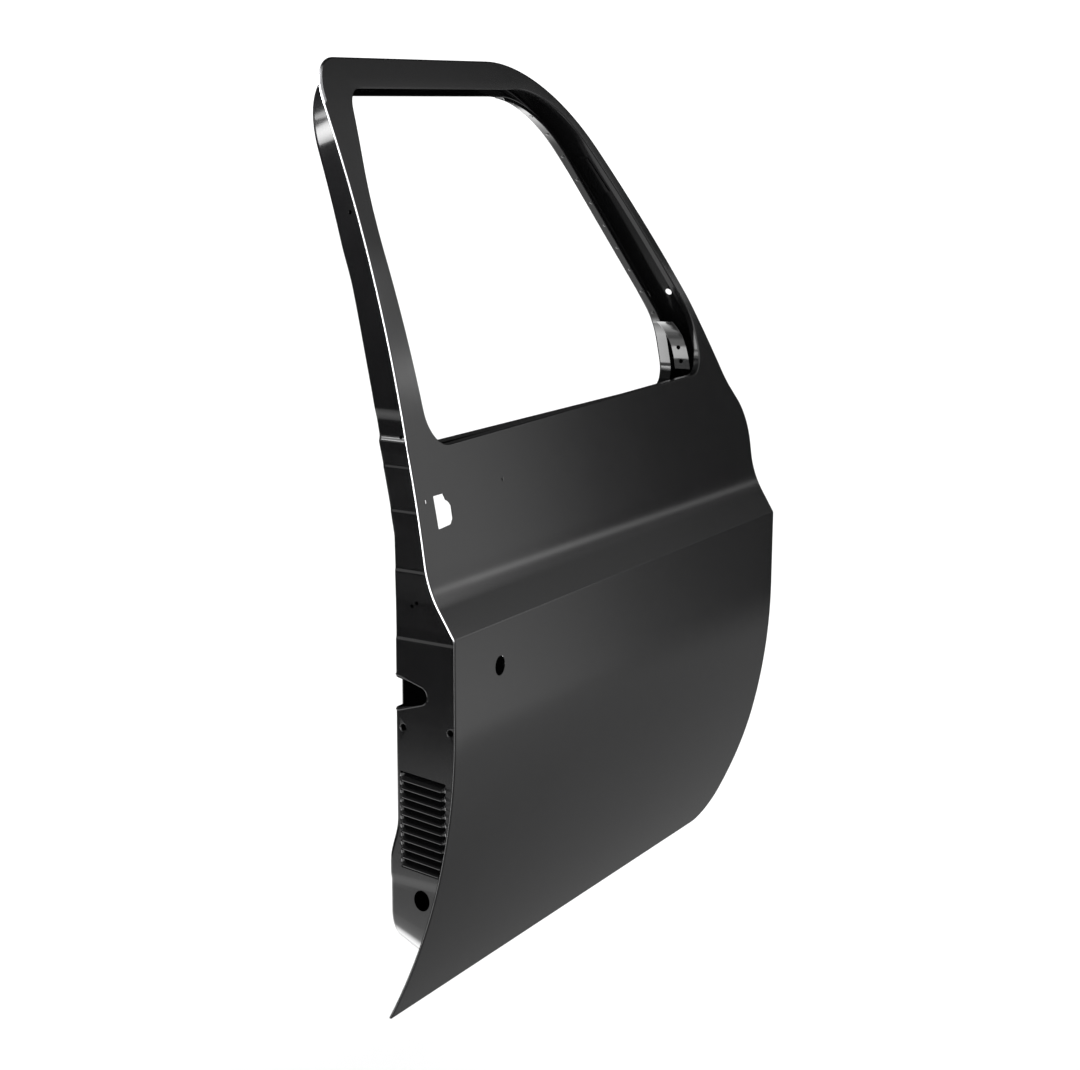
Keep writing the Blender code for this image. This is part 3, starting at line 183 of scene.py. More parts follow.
def skin_section():
    """Heights, depths and slant factors of the outer face, from bottom edge to top."""
    rows = []
    for i in range(25):
        below = (TUCK_TOP - BOTTOM) * (1 - i / 24)
        rows.append((TUCK_TOP - below, TUCK_RADIUS - math.sqrt(TUCK_RADIUS**2 - below**2)))
    reach = CREASE_RADIUS * math.tan(CREASE_LEAN / 2)
    above = Vector((math.cos(CREASE_LEAN), math.sin(CREASE_LEAN)))
    rows += [tuple(p) for p in corner_arc(Vector((-1, 0)), Vector((0, 0)), above, reach, FOLD_STEPS)]
    z, y = CREASE_RISE, CREASE_RISE * math.tan(CREASE_LEAN)
    rows.append((z, y))
    for i in range(1, 15):
        slant = CREASE_LEAN + (UPPER_LEAN - CREASE_LEAN) * i / 14
        rise = COVE_RADIUS * (math.sin(CREASE_LEAN) - math.sin(slant))
        rows.append((z + rise, y + COVE_RADIUS * (math.cos(slant) - math.cos(CREASE_LEAN))))
    z, y = rows[-1]
    for i in range(1, 25):
        rise = (TOP - z) * i / 24
        slant = math.asin(math.sin(UPPER_LEAN) + rise / UPPER_RADIUS)
        rows.append((z + rise, y + UPPER_RADIUS * (math.cos(UPPER_LEAN) - math.cos(slant))))
    rows = np.array(rows)
    rise, run = np.diff(rows[:, 0]), np.diff(rows[:, 1])
    slants = np.hypot(rise, run) / rise
    return rows[:, 0], rows[:, 1], (np.append(slants[0], slants) + np.append(slants, slants[-1])) / 2


SKIN_Z, SKIN_Y, SKIN_SLANT = skin_section()


def skin_y(z):
    """Depth of the outer face at a height."""
    return float(np.interp(z, SKIN_Z, SKIN_Y))


def behind(z, depth):
    """Depth of a face that lies so far behind the outer face, square to it."""
    return skin_y(z) + depth * float(np.interp(z, SKIN_Z, SKIN_SLANT))


print("skin section rows", len(SKIN_Z), "deepest", round(float(SKIN_Y[-1]), 4))

# %% [markdown]
# ## The outlines of door and window
# Nine corners make the door's side view, and six the window's. Everything else is parallel to them.

# %% Door and window outlines
DOOR_CORNERS = [Vector(corner) for corner in (
    (0.0, BOTTOM), (DOOR_LENGTH - 0.050, BOTTOM), (DOOR_LENGTH - 0.017, BOTTOM + 0.129),
    (DOOR_LENGTH, 0.159), (DOOR_LENGTH - 0.066, 0.225), (DOOR_LENGTH - 0.151, 0.362),
    (DOOR_LENGTH - 0.433, TOP), (REAR_LEAN, TOP), (0.0, BELT_RISE),
)]
DOOR_REACHES = (0.003, 0.050, 0.060, 0.045, 0.020, 0.020, 0.160, 0.060, 0.030)
DOOR_STEPS = (6, 14, 8, 14, 8, 6, 24, 18, 6)
WINDOW_REACHES = (0.050, 0.045, 0.026, 0.107, 0.028, 0.060)
INNER_WINDOW_REACHES = (0.045, 0.036, 0.030, 0.100, 0.024, 0.060)
WINDOW_REVEALS = (0.0, 0.021, 0.021, 0.010, 0.021, 0.021)
WINDOW_STEPS = (14, 14, 8, 20, 12, 8)
KNEE_RISE = 0.305


def door_ring(inset):
    """Arcs of an outline parallel to the door's edge."""
    corners = line_corners(side_lines(DOOR_CORNERS, [inset] * 9))
    return rounded(corners, parallel_reaches(DOOR_CORNERS, DOOR_REACHES, inset), DOOR_STEPS)


def window_lines():
    """The sides of the opening in the outer panel, from the sill, forward and round."""
    door = side_lines(DOOR_CORNERS, [0.0] * 5 + [0.020, 0.040, 0.0, 0.0])
    knee = Vector((REAR_SLOPE * KNEE_RISE + 0.036, BELT_RISE + KNEE_RISE))
    foot = Vector((0.058, BELT_RISE - 0.005))
    front = Vector((DOOR_LENGTH - 0.154, BELT_RISE + 0.006))
    head = Vector((knee.x + 0.043, TOP - 0.040))
    return [
        (foot, (front - foot).normalized()),
        (front, Vector((0.0, 1.0))),
        door[5],
        door[6],
        (head, (knee - head).normalized()),
        (knee, (foot - knee).normalized()),
    ]


def ring_of_lines(lines, reaches, grow):
    """One closed outline from window sides, made larger all round."""
    corners = line_corners(lines)
    wider = line_corners([moved(line, -grow) for line in lines])
    return joined(rounded(wider, parallel_reaches(corners, reaches, -grow), WINDOW_STEPS))


def window_ring(grow=0.0):
    """The opening in the outer panel."""
    return ring_of_lines(window_lines(), WINDOW_REACHES, grow)


def inner_window_ring(grow=0.0):
    """The opening in the inner panel, which shows inside the outer one."""
    lines = [moved(line, reveal) for line, reveal in zip(window_lines(), WINDOW_REVEALS)]
    lines[0] = (Vector((0.0, BELT_RISE - 0.012)), Vector((1.0, 0.0)))
    return ring_of_lines(lines, INNER_WINDOW_REACHES, grow)


# %% [markdown]
# ## Working sheet metal
# A pressing starts flat here as it does in the press shop: outlines and holes are filled as one flat
# sheet, the sheet is cut along the section's rows, and then each point is pushed to its depth. Open
# edges are drawn on into folds and returns. Solidify gives the sheet its gauge at the very end, so
# the inside of every fold follows by itself.

# %% Sheet metal helpers
REGIONS = ("drawn", "skin", "flange", "wall", "turn", "face")


def new_sheet():
    """An empty bmesh whose faces can carry a region number."""
    bm = bmesh.new()
    bm.faces.layers.int.new("region")
    return bm


def add_loop(bm, points):
    """A closed chain of edges, from flat outline points or from points in space."""
    verts = [bm.verts.new((p.x, 0.0, p.y) if len(p) == 2 else p) for p in points]
    return verts, [bm.edges.new((verts[i - 1], verts[i])) for i in range(len(verts))]


def fill(bm, edges, region):
    """Fills the flat area between chains of edges, and marks its faces with a region."""
    layer = bm.faces.layers.int.get("region")
    for item in bmesh.ops.triangle_fill(bm, use_beauty=True, use_dissolve=False, edges=edges)["geom"]:
        if isinstance(item, bmesh.types.BMFace):
            item[layer] = REGIONS.index(region)


def in_region(bm, region):
    """The faces that carry a region's number."""
    layer = bm.faces.layers.int.get("region")
    return [f for f in bm.faces if f[layer] == REGIONS.index(region)]


def shape_region(bm, region, heights, depth):
    """Cuts a region along level lines, joins each strip's triangles, and gives its points their depth."""
    layer = bm.faces.layers.int.get("region")
    for z in heights:
        faces = in_region(bm, region)
        near = [f for f in faces if min(v.co.z for v in f.verts) < z < max(v.co.z for v in f.verts)]
        geom = [*{v for f in near for v in f.verts}, *{e for f in near for e in f.edges}, *near]
        bmesh.ops.bisect_plane(bm, geom=geom, dist=1e-6, plane_co=(0, 0, z), plane_no=(0, 0, 1))
    slanted = [e for e in bm.edges if abs(e.verts[0].co.z - e.verts[1].co.z) > 1e-5]
    number = REGIONS.index(region)
    edges = [e for e in slanted if len(e.link_faces) == 2 and all(f[layer] == number for f in e.link_faces)]
    bmesh.ops.dissolve_limit(bm, angle_limit=1e-4, verts=[], edges=edges)
    for v in {v for f in in_region(bm, region) for v in f.verts}:
        v.co.y = depth(v.co.z)


def locate(loop, x, z):
    """Distance to an outline, and the place of the nearest point on it."""
    a = np.array([(p.x, p.y) for p in loop])
    along = np.roll(a, -1, axis=0) - a
    share = np.clip(((np.array((x, z)) - a) * along).sum(1) / (along**2).sum(1), 0.0, 1.0)
    gaps = np.hypot(*(a + along * share[:, None] - (x, z)).T)
    i = int(np.argmin(gaps))
    return float(gaps[i]), i, float(share[i])


def rim(bm, loop):
    """The open edges that lie along an outline."""
    spots = {}
    for e in (e for e in bm.edges if e.is_boundary):
        for v in e.verts:
            if v not in spots:
                spots[v] = locate(loop, v.co.x, v.co.z)[0] < 1e-5
    return [e for e in bm.edges if e.is_boundary and all(spots[v] for v in e.verts)]


def draw_rim(bm, edges, here, there, depth):
    """Extrudes open edges from one outline to its place on the next, and returns the new open edges."""
    made = bmesh.ops.extrude_edge_only(bm, edges=edges)["geom"]
    for v in (item for item in made if isinstance(item, bmesh.types.BMVert)):
        _, i, share = locate(here, v.co.x, v.co.z)
        p = there[i].lerp(there[(i + 1) % len(there)], share)
        v.co = (p.x, depth(p.y, v.co.y), p.y)
    return [item for item in made if isinstance(item, bmesh.types.BMEdge) and item.is_boundary]


def fold_rim(bm, edges, ring, radius, length, side):
    """Folds open edges round an opening: a quarter turn, then a straight return of the given length."""
    here = ring(radius)
    done = 0.0
    for i in range(1, FOLD_STEPS + 1):
        turn = math.pi / 2 * i / FOLD_STEPS
        there = ring(radius * (1 - math.sin(turn)))
        drop = radius * (1 - math.cos(turn))
        edges = draw_rim(bm, edges, here, there, lambda z, y, step=drop - done: y + side * step)
        here, done = there, drop
    return draw_rim(bm, edges, here, here, lambda z, y: y + side * (length - done))


def join_rows(bm, rows, closed=False):
    """Faces between neighbouring rows of points, and round from last to first where rows are closed."""
    return [
        bm.faces.new((near[i - 1], near[i], far[i], far[i - 1]))
        for near, far in zip(rows, rows[1:]) for i in range(0 if closed else 1, len(near))
    ]


def face_side(bm, faces, side):
    """Points all faces of an open sheet the same way, so that the named ones look to a side."""
    bmesh.ops.recalc_face_normals(bm, faces=bm.faces[:])
    if sum(f.normal.dot(side) * f.calc_area() for f in faces) < 0:
        bmesh.ops.reverse_faces(bm, faces=bm.faces[:])


# %% [markdown]
# ## From sheet to finished piece
# Solidify gives the wall, and a Boolean with a prism for each hole punches it. The result is turned
# into a plain mesh and shifted so that the hinge seat lies at the origin. A piece then rides on the
# frame's only body, and the solid it stands for is hidden. Shading follows the large faces, so a flat
# stretch looks flat right up to its folds.

# %% Gauge, punch and place
SHARP_ANGLE = math.radians(32)


def linked(name, data):
    """A new object in the scene."""
    made = bpy.data.objects.new(name, data)
    bpy.context.scene.collection.objects.link(made)
    return made


def mesh_object(name, bm):
    """A new object in the scene from a bmesh, which isn't needed any more after it."""
    mesh = bpy.data.meshes.new(name)
    bm.to_mesh(mesh)
    bm.free()
    return linked(name, mesh)


def shaped(made):
    """The mesh that an object's modifiers give. The modifiers are removed."""
    graph = bpy.context.evaluated_depsgraph_get()
    mesh = bpy.data.meshes.new_from_object(made.evaluated_get(graph))
    made.modifiers.clear()
    return mesh


def punch(made, prisms):
    """Cuts prisms out of a piece. A prism is an outline, the way it points, and its two ends."""
    bm = bmesh.new()
    for outline, spot, near, far in prisms:
        ends = [[bm.verts.new(spot(p.x, p.y, d)) for p in outline] for d in (near, far)]
        join_rows(bm, ends, closed=True)
        bm.faces.new(ends[0])
        bm.faces.new(ends[1])
    bmesh.ops.recalc_face_normals(bm, faces=bm.faces[:])
    tool = mesh_object("punch", bm)
    boolean = made.modifiers.new("holes", "BOOLEAN")
    boolean.object = tool
    boolean.operation = "DIFFERENCE"
    boolean.solver = "EXACT"
    return tool


def open_edges(mesh):
    """How many edges of a mesh don't join exactly two faces."""
    bm = bmesh.new()
    bm.from_mesh(mesh)
    count = sum(len(e.link_faces) != 2 for e in bm.edges)
    bm.free()
    return count


def place_mesh(made, mesh):
    """Gives an object a mesh from the drawing frame, smooth but for its real edges."""
    shift = bmesh.new()
    shift.from_mesh(mesh)
    bmesh.ops.translate(shift, vec=-SEAT, verts=shift.verts[:])
    shift.to_mesh(mesh)
    shift.free()
    made.data = mesh
    mesh.name = made.name
    mesh.shade_smooth()
    mesh.set_sharp_from_angle(angle=SHARP_ANGLE)


def flatten_shading(made):
    """Lets large faces lead the shading, so that flat stretches look flat right up to their folds."""
    weighted = made.modifiers.new("weighted", "WEIGHTED_NORMAL")
    weighted.keep_sharp = True
    weighted.weight = 100
    made.data = shaped(made)
    made.data.name = made.name


def finish_piece(name, bm, gauge, node, prisms=()):
    """Gives a sheet its gauge and holes, and sets it in the frame in place of a CAD node."""
    bm.normal_update()
    made = mesh_object(name, bm)
    solid = made.modifiers.new("gauge", "SOLIDIFY")
    solid.thickness = gauge
    solid.offset = -1.0
    solid.use_even_offset = True
    tool = punch(made, prisms) if prisms else None
    final = shaped(made)
    if tool:
        bpy.data.objects.remove(tool)
    place_mesh(made, final)
    flatten_shading(made)
    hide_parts(node)
    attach(made, "root")
    print(name, len(final.polygons), "faces", open_edges(final), "open edges")
    return made


def across(u, v, d):
    """Punch direction through the jambs: u inward, v up, d forward."""
    return d, u, v


def upward(u, v, d):
    """Punch direction through the tray's floor: u forward, v inward, d up."""
    return u, v, d


# %% [markdown]
# ## The outer panel
# The skin is pressed with its window and handle openings, its edge is bent square all round, and once
# the inner panel lies inside, a roller folds that edge flat over the inner panel's flange. That is the
# hem, and its round nose catches the light along the whole rear edge, so it is drawn as a half circle.

# %% Outer panel
HANDLE_CORNERS = (
    (0.044, 0.133), (0.077, 0.135), (0.084, 0.142), (0.084, 0.158),
    (0.079, 0.164), (0.071, 0.168), (0.068, 0.177), (0.042, 0.178),
)
HANDLE_REACH = 0.0022
LOCK = (0.121, -0.058, 0.0135)
HANDLE_SCREWS = ((0.021, 0.172, 0.0033), (0.229, 0.173, 0.0033))
LIP_RADIUS, LIP_DEPTH = 0.0022, 0.010
HEM_WIDTH = 0.009


def outer_panel():
    """The outer panel: pressed face, lip round the window, and the hem that holds the inner panel."""
    radius = HEM_FACE / 2
    insets, depths = [], []
    for i in range(2 * FOLD_STEPS + 1):
        turn = math.pi * i / (2 * FOLD_STEPS)
        insets.append(radius * (1 - math.sin(turn)))
        depths.append(radius * (1 - math.cos(turn)))
    rings = matched_outlines([door_ring(inset) for inset in (*insets, HEM_WIDTH)], list(SKIN_Z))
    depths.append(HEM_FACE)
    window = window_ring(LIP_RADIUS)
    handle = joined(rounded([Vector(p) for p in HANDLE_CORNERS], [HANDLE_REACH] * 8, [4] * 8))
    holes = [circle(*LOCK, 40), *(circle(*screw, 20) for screw in HANDLE_SCREWS)]
    bm = new_sheet()
    fill(bm, [e for loop in (rings[0], window, handle, *holes) for e in add_loop(bm, loop)[1]], "skin")
    shape_region(bm, "skin", SKIN_Z[1:-1], skin_y)
    fold_rim(bm, rim(bm, window), window_ring, LIP_RADIUS, LIP_DEPTH, 1.0)
    edge = rim(bm, rings[0])
    for here, there, depth in zip(rings, rings[1:], depths[1:]):
        edge = draw_rim(bm, edge, here, there, lambda z, y, depth=depth: behind(z, depth))
    face_side(bm, in_region(bm, "skin"), Vector((0.0, -1.0, 0.0)))
    return finish_piece("door_skin", bm, SHEET, "outer_panel")


DOOR_SKIN = outer_panel()

# %% [markdown]
# ## The inner panel's depths
# The inner panel is drawn about 110 mm deep in one piece. Its cabin-side face is upright in the body
# and follows the glass in the frame. The rear jamb has draft, or it would stick in the die, and it
# steps forward a few millimetres at a time to clear the body pillar. Each step is given as the heights
# where it starts and ends, and the set-in above it. The face is cut along a guard row close to every
# bend, so the shading of the bend can't run out over the flat sheet beside it.

# %% Depth and steps of the inner panel
INNER_DEPTH = 0.112
BELT_CLEARANCE, HEADER_CLEARANCE = 0.066, 0.046
FOOT_BULGE, FOOT_BULGE_TOP, FOOT_BULGE_RUN = 0.013, -0.262, 0.060
JAMB_DRAFT = math.tan(math.radians(9.0))
REAR_FLANGE = 0.018
JAMB_START = 0.0022
JAMB_FADE_END, JAMB_FADE_RUN = 0.160, 0.080
JAMB_STEPS = (
    (-0.352, -0.338, 0.0), (-0.017, -0.011, 0.0014), (0.074, 0.080, 0.0028), (0.152, 0.158, 0.0040),
    (0.210, 0.216, 0.0051), (0.244, 0.253, 0.0090), (0.270, 0.290, 0.0074), (0.440, 0.500, 0.0030),
)


def eased(share):
    """A share of a way, held between 0 and 1, with a soft start and end."""
    share = min(max(share, 0.0), 1.0)
    return share * share * (3 - 2 * share)


def inner_y(z):
    """Depth of the cabin-side face."""
    if z < 0.0:
        return INNER_DEPTH + FOOT_BULGE * eased((FOOT_BULGE_TOP - z) / FOOT_BULGE_RUN)
    share = max((z - BELT_RISE) / (TOP - BELT_RISE), 0.0)
    return max(INNER_DEPTH, skin_y(z) + BELT_CLEARANCE + (HEADER_CLEARANCE - BELT_CLEARANCE) * share)


def jamb_set_in(z):
    """How far forward the steps put the rear jamb at a height."""
    amount = JAMB_START
    for low, high, above in JAMB_STEPS:
        amount += (above - amount) * eased((z - low) / (high - low))
    return amount


def jamb_shift(x, z, y):
    """Forward shift of a rear jamb point, fading out away from the jamb."""
    near = min(max((JAMB_FADE_END - x) / JAMB_FADE_RUN, 0.0), 1.0)
    start = skin_y(z) * min(max(z / BELT_RISE, 0.0), 1.0)
    return near * (JAMB_DRAFT * (y - start) + jamb_set_in(z))


LEAN_START = max(z for z in np.linspace(0.10, 0.40, 6001) if inner_y(z) <= INNER_DEPTH)
GUARD = 0.003
FACE_ROWS = [FOOT_BULGE_TOP - FOOT_BULGE_RUN * i / 8 for i in range(8, -1, -1)]
FACE_ROWS = [FACE_ROWS[0] - GUARD, *FACE_ROWS, FOOT_BULGE_TOP + GUARD]
FACE_ROWS += [LEAN_START - GUARD, LEAN_START, *(z for z in SKIN_Z if z > LEAN_START + GUARD)]
print("cabin face leans from", round(float(LEAN_START), 3), "m up")

# %% [markdown]
# ## The tray's walls
# Two outlines carry the walls: the foot, where a wall leaves the flange, and the brow, where it turns
# into the cabin-side face. A press can't make a sharp fold, so both are rounded: the arc reaches 3 mm
# along both sides at the foot, and 7 mm at the brow. Each pair of outline points gets its own two arcs.

# %% Foot, walls and brow
FOOT_REACH, FOOT_STEPS = 0.003, 4
BROW_REACH, BROW_STEPS = 0.0072, 6
FOOT_REACHES = (0.054, 0.022, 0.014, 0.030, 0.018, 0.020, 0.150, 0.092, 0.030)
BROW_REACHES = (0.048, 0.018, 0.012, 0.026, 0.018, 0.020, 0.140, 0.102, 0.030)
TRAY_STEPS = (14, 12, 10, 12, 8, 6, 24, 16, 6)
HEADER_INSET = 0.012
ROW_SPACING = 0.0007
CORNER_LEVER = 0.01


def tray_ring(reaches, bottom, toe, shoulder, pillar, header):
    """Arcs of an outline round the tray, upright at the hinge face."""
    distances = [bottom, toe, 0.0, shoulder, pillar, pillar, header, HEADER_INSET, REAR_FLANGE]
    lines = side_lines(DOOR_CORNERS, distances)
    lines[2] = (Vector((HINGE_X, 0.0)), Vector((0.0, 1.0)))
    return rounded(line_corners(lines), reaches, TRAY_STEPS)


def tray_outlines():
    """Foot and brow of the tray's walls, with the rear jamb's draft and steps in them."""
    foot_arcs = tray_ring(FOOT_REACHES, bottom=0.062, toe=0.014, shoulder=0.016, pillar=0.013, header=0.012)
    brow_arcs = tray_ring(BROW_REACHES, bottom=0.089, toe=0.020, shoulder=0.024, pillar=0.021, header=0.018)
    rows = {*SKIN_Z, *FACE_ROWS}
    rows |= {low + (high - low) * i / 6 for low, high, _ in JAMB_STEPS for i in range(7)}
    kept = [BOTTOM]
    for z in sorted(rows):
        if z - kept[-1] > ROW_SPACING:
            kept.append(z)
    foot, brow = matched_outlines([foot_arcs, brow_arcs], kept)
    foot = [Vector((p.x + jamb_shift(p.x, p.y, behind(p.y, FLANGE_FACE)), p.y)) for p in foot]
    brow = [Vector((p.x + jamb_shift(p.x, p.y, inner_y(p.y)), p.y)) for p in brow]
    return foot, brow


def inward_normals(loop):
    """Direction into the outline at each of its points."""
    normals = []
    for i, p in enumerate(loop):
        along = (loop[(i + 1) % len(loop)] - p).normalized() + (p - loop[i - 1]).normalized()
        normals.append(Vector((-along.y, along.x)).normalized())
    return normals


def tray_sections(foot, brow):
    """For each pair of outline points, a line of points from the flange up the wall to the face."""
    sections = []
    for low, high, n_low, n_high in zip(foot, brow, inward_normals(foot), inward_normals(brow)):
        a = Vector((low.x, behind(low.y, FLANGE_FACE), low.y))
        b = Vector((high.x, inner_y(high.y), high.y))
        out_z = low.y - n_low.y * CORNER_LEVER
        flange = Vector((low.x - n_low.x * CORNER_LEVER, behind(out_z, FLANGE_FACE), out_z))
        in_z = high.y + n_high.y * CORNER_LEVER
        face = Vector((high.x + n_high.x * CORNER_LEVER, inner_y(in_z), in_z))
        foot_arc = corner_arc(flange, a, b, FOOT_REACH, FOOT_STEPS)
        sections.append(foot_arc + corner_arc(a, b, face, BROW_REACH, BROW_STEPS))
    return sections


# %% [markdown]
# ## Louvres and screw dimples in the jamb
# Behind the hem, the jamb has a bank of louvres that lets cabin air out when a door is slammed. The die
# slits the wall and twists each blade, so blade and wall stay one sheet: the blade's ends run into the
# wall over a few millimetres. The latch screws sit in small pressed dimples. A flat stretch of wall is
# cleared, the blades and dimples are set in, and the rest is filled again.

# %% Jamb features
LOUVRE_COUNT = 11
LOUVRE_PITCH = 0.0118
LOUVRE_TOP = -0.195
LOUVRE_START, LOUVRE_END = 0.0285, 0.1035
LOUVRE_FALL = math.tan(math.radians(5.0))
HALF_SLOT = 0.0017
HEM_CLEARANCE = 0.0095
RUN_IN = (0.0, 0.0015, 0.003, 0.0045, 0.006)
BLADE_TWIST = (
    (0.0, 0.0054), (0.15, 0.0042), (0.35, 0.0020), (0.55, -0.0004),
    (0.75, -0.0026), (0.88, -0.0037), (1.0, -0.0033),
)
LATCH_SCREWS = ((0.020, -0.130), (0.098, -0.134))
DIMPLE_RISE = 0.0012
DIMPLE_PROFILE = ((0.0058, 0.0), (0.0054, 0.12), (0.0050, 0.45), (0.0046, 1.0))
JAMB_FIELD_TOP = -0.030


def jamb_at(y, z, lift=0.0):
    """A point on the flat rear jamb, lifted out of it to the rear."""
    return Vector((REAR_FLANGE + JAMB_DRAFT * y - lift, y + lift * JAMB_DRAFT, z))


def louvre_bank(bm):
    """The blades between their slots. Returns the ring of edges round the bank."""
    last = 2 * len(RUN_IN)

    def vert(column, z, twist):
        start = max(LOUVRE_START, behind(z, HEM_CLEARANCE))
        length = LOUVRE_END - start
        station = (*RUN_IN, length / 2, *(length - run for run in reversed(RUN_IN)))[column]
        share = eased(min(station, length - station) / RUN_IN[-1])
        drop = LOUVRE_FALL * (length - station)
        return bm.verts.new(jamb_at(start + station, z - drop, -twist * share))

    outer, inner = [], []
    for i in range(LOUVRE_COUNT):
        top = LOUVRE_TOP - LOUVRE_PITCH * i - HALF_SLOT
        foot = LOUVRE_TOP - LOUVRE_PITCH * (i + 1) + HALF_SLOT
        blade = []
        for share, twist in BLADE_TWIST:
            blade.append([vert(c, top + (foot - top) * share, twist) for c in range(last + 1)])
        join_rows(bm, blade)
        outer += [row[0] for row in blade]
        inner += [row[-1] for row in blade]
    head = [vert(c, LOUVRE_TOP + HALF_SLOT, 0.0) for c in (0, last)]
    foot = [vert(c, LOUVRE_TOP - LOUVRE_PITCH * LOUVRE_COUNT - HALF_SLOT, 0.0) for c in (0, last)]
    ring = [head[0], *outer, foot[0], foot[1], *reversed(inner), head[1]]
    return [bm.edges.get((ring[i - 1], v)) or bm.edges.new((ring[i - 1], v)) for i, v in enumerate(ring)]


def dimple(bm, y, z):
    """A pressed dimple with a screw hole. Returns the ring of edges round it."""
    rings = []
    for radius, share in DIMPLE_PROFILE:
        points = [jamb_at(p.x, p.y, -DIMPLE_RISE * share) for p in circle(y, z, radius, 28)]
        rings.append([bm.verts.new(p) for p in points])
    join_rows(bm, rings, closed=True)
    return [bm.edges.get((rings[0][i - 1], rings[0][i])) for i in range(28)]


def refill_jamb(bm):
    """Clears the flat stretch of the rear jamb and fills it again round louvres and dimples."""
    low = LOUVRE_TOP - LOUVRE_PITCH * (LOUVRE_COUNT + 0.8)
    rear = [f for f in in_region(bm, "wall") if max(v.co.x for v in f.verts) < 0.05]
    field = {
        f for f in rear
        if min(v.co.z for v in f.verts) < JAMB_FIELD_TOP and max(v.co.z for v in f.verts) > low
    }
    edges = [e for e in {e for f in field for e in f.edges} if sum(f in field for f in e.link_faces) == 1]
    bmesh.ops.delete(bm, geom=list(field), context="FACES")
    edges = [e for e in edges if e.is_valid] + louvre_bank(bm)
    for y, z in LATCH_SCREWS:
        edges += dimple(bm, y, z)
    fill(bm, edges, "wall")


# %% [markdown]
# ## Openings in the cabin-side face
# Hands and tools reach the window regulator, the speaker and the latch through large openings. Each has
# a rim sunk by 5 mm so that the trim panel's seal lies flat, and nuts and clips have plain round holes.

# %% Access openings and small holes
ACCESS_OPENINGS = (
    ((0.098, 0.052), (0.200, 0.052), (0.200, 0.176), (0.098, 0.176), 0.022),
    ((0.192, -0.330), (0.318, -0.330), (0.318, -0.165), (0.192, -0.165), 0.030),
    ((0.402, -0.318), (0.760, -0.318), (0.818, -0.020), (0.402, -0.020), 0.048),
    ((0.855, -0.300), (1.015, -0.300), (1.015, -0.130), (0.890, -0.130), 0.034),
    ((0.790, 0.060), (0.960, 0.060), (0.940, 0.150), (0.790, 0.150), 0.024),
)
SERVICE_HOLES = (
    (0.581, 0.095, 0.0150), (0.300, 0.118, 0.0130), (0.248, -0.040, 0.0048), (0.556, 0.012, 0.0048),
    (0.636, 0.034, 0.0048), (0.496, 0.045, 0.0035), (0.496, 0.105, 0.0035), (0.666, 0.045, 0.0035),
    (0.666, 0.105, 0.0035), (0.340, 0.020, 0.0035), (0.338, -0.220, 0.0035), (0.345, -0.372, 0.0048),
    (0.830, -0.372, 0.0048), (0.070, -0.372, 0.0048), (0.330, 0.190, 0.0035), (0.760, 0.190, 0.0035),
)
RIM_DEPTH = 0.005
JOGGLE = ((0.0, 0.0), (0.0010, 0.10), (0.0022, 0.5), (0.0034, 0.90), (0.0044, 1.0), (0.0130, 1.0))


def access_rings():
    """For each access opening, the outlines of its sunk rim from outside in."""
    openings = []
    for *corners, reach in ACCESS_OPENINGS:
        corners = [Vector(p) for p in corners]
        rings = []
        for width, _ in JOGGLE:
            reaches = [max(reach - width, 0.004)] * 4
            inside = line_corners(side_lines(corners, [width] * 4))
            rings.append(joined(rounded(inside, reaches, [10] * 4)))
        openings.append(rings)
    return openings


# %% [markdown]
# ## Holes through the jambs
# The latch notch is open to the cabin side, so a striker can enter it. The notch, the round holes and
# the drain slots in the tray's floor are punched last, straight through the sheet.

# %% Punched holes
NOTCH_LOW, NOTCH_HIGH, NOTCH_OPEN = -0.111, -0.064, 0.124
NOTCH_NOSE, NOTCH_RADIUS = Vector((0.070, -0.087)), 0.013
PLUG_DEPTH, PLUG_HEIGHT, PLUG_RADIUS, PLUG_STRETCH = 0.071, -0.368, 0.0130, 1.1
JAMB_HOLES = (
    (0.169, 0.537, 0.0028), (0.095, 0.252, 0.0026), (0.093, 0.266, 0.0036),
    (0.074, 0.036, 0.0026), (0.082, 0.031, 0.0026),
)
PILLAR_HOLE = (0.117, 0.376, 0.0050)
HINGES, HINGE_DEPTH, BOLT_RADIUS = (0.055, -0.270), 0.070, 0.0055
HINGE_BOLTS = ((-0.013, 0.032), (-0.013, -0.032), (0.015, 0.0))
DRAINS, DRAIN_HALF, DRAIN_DEPTHS = (0.250, 0.545, 0.840), 0.014, (0.094, 0.106)


def notch_outline():
    """The latch notch from its lower open end round the nose to the upper one."""
    turns = (math.radians(-75 + 150 * i / 20) for i in range(21))
    nose = [NOTCH_NOSE + Vector((-math.cos(turn), math.sin(turn))) * NOTCH_RADIUS for turn in turns]
    return [Vector((NOTCH_OPEN, NOTCH_LOW)), *nose, Vector((NOTCH_OPEN, NOTCH_HIGH))]


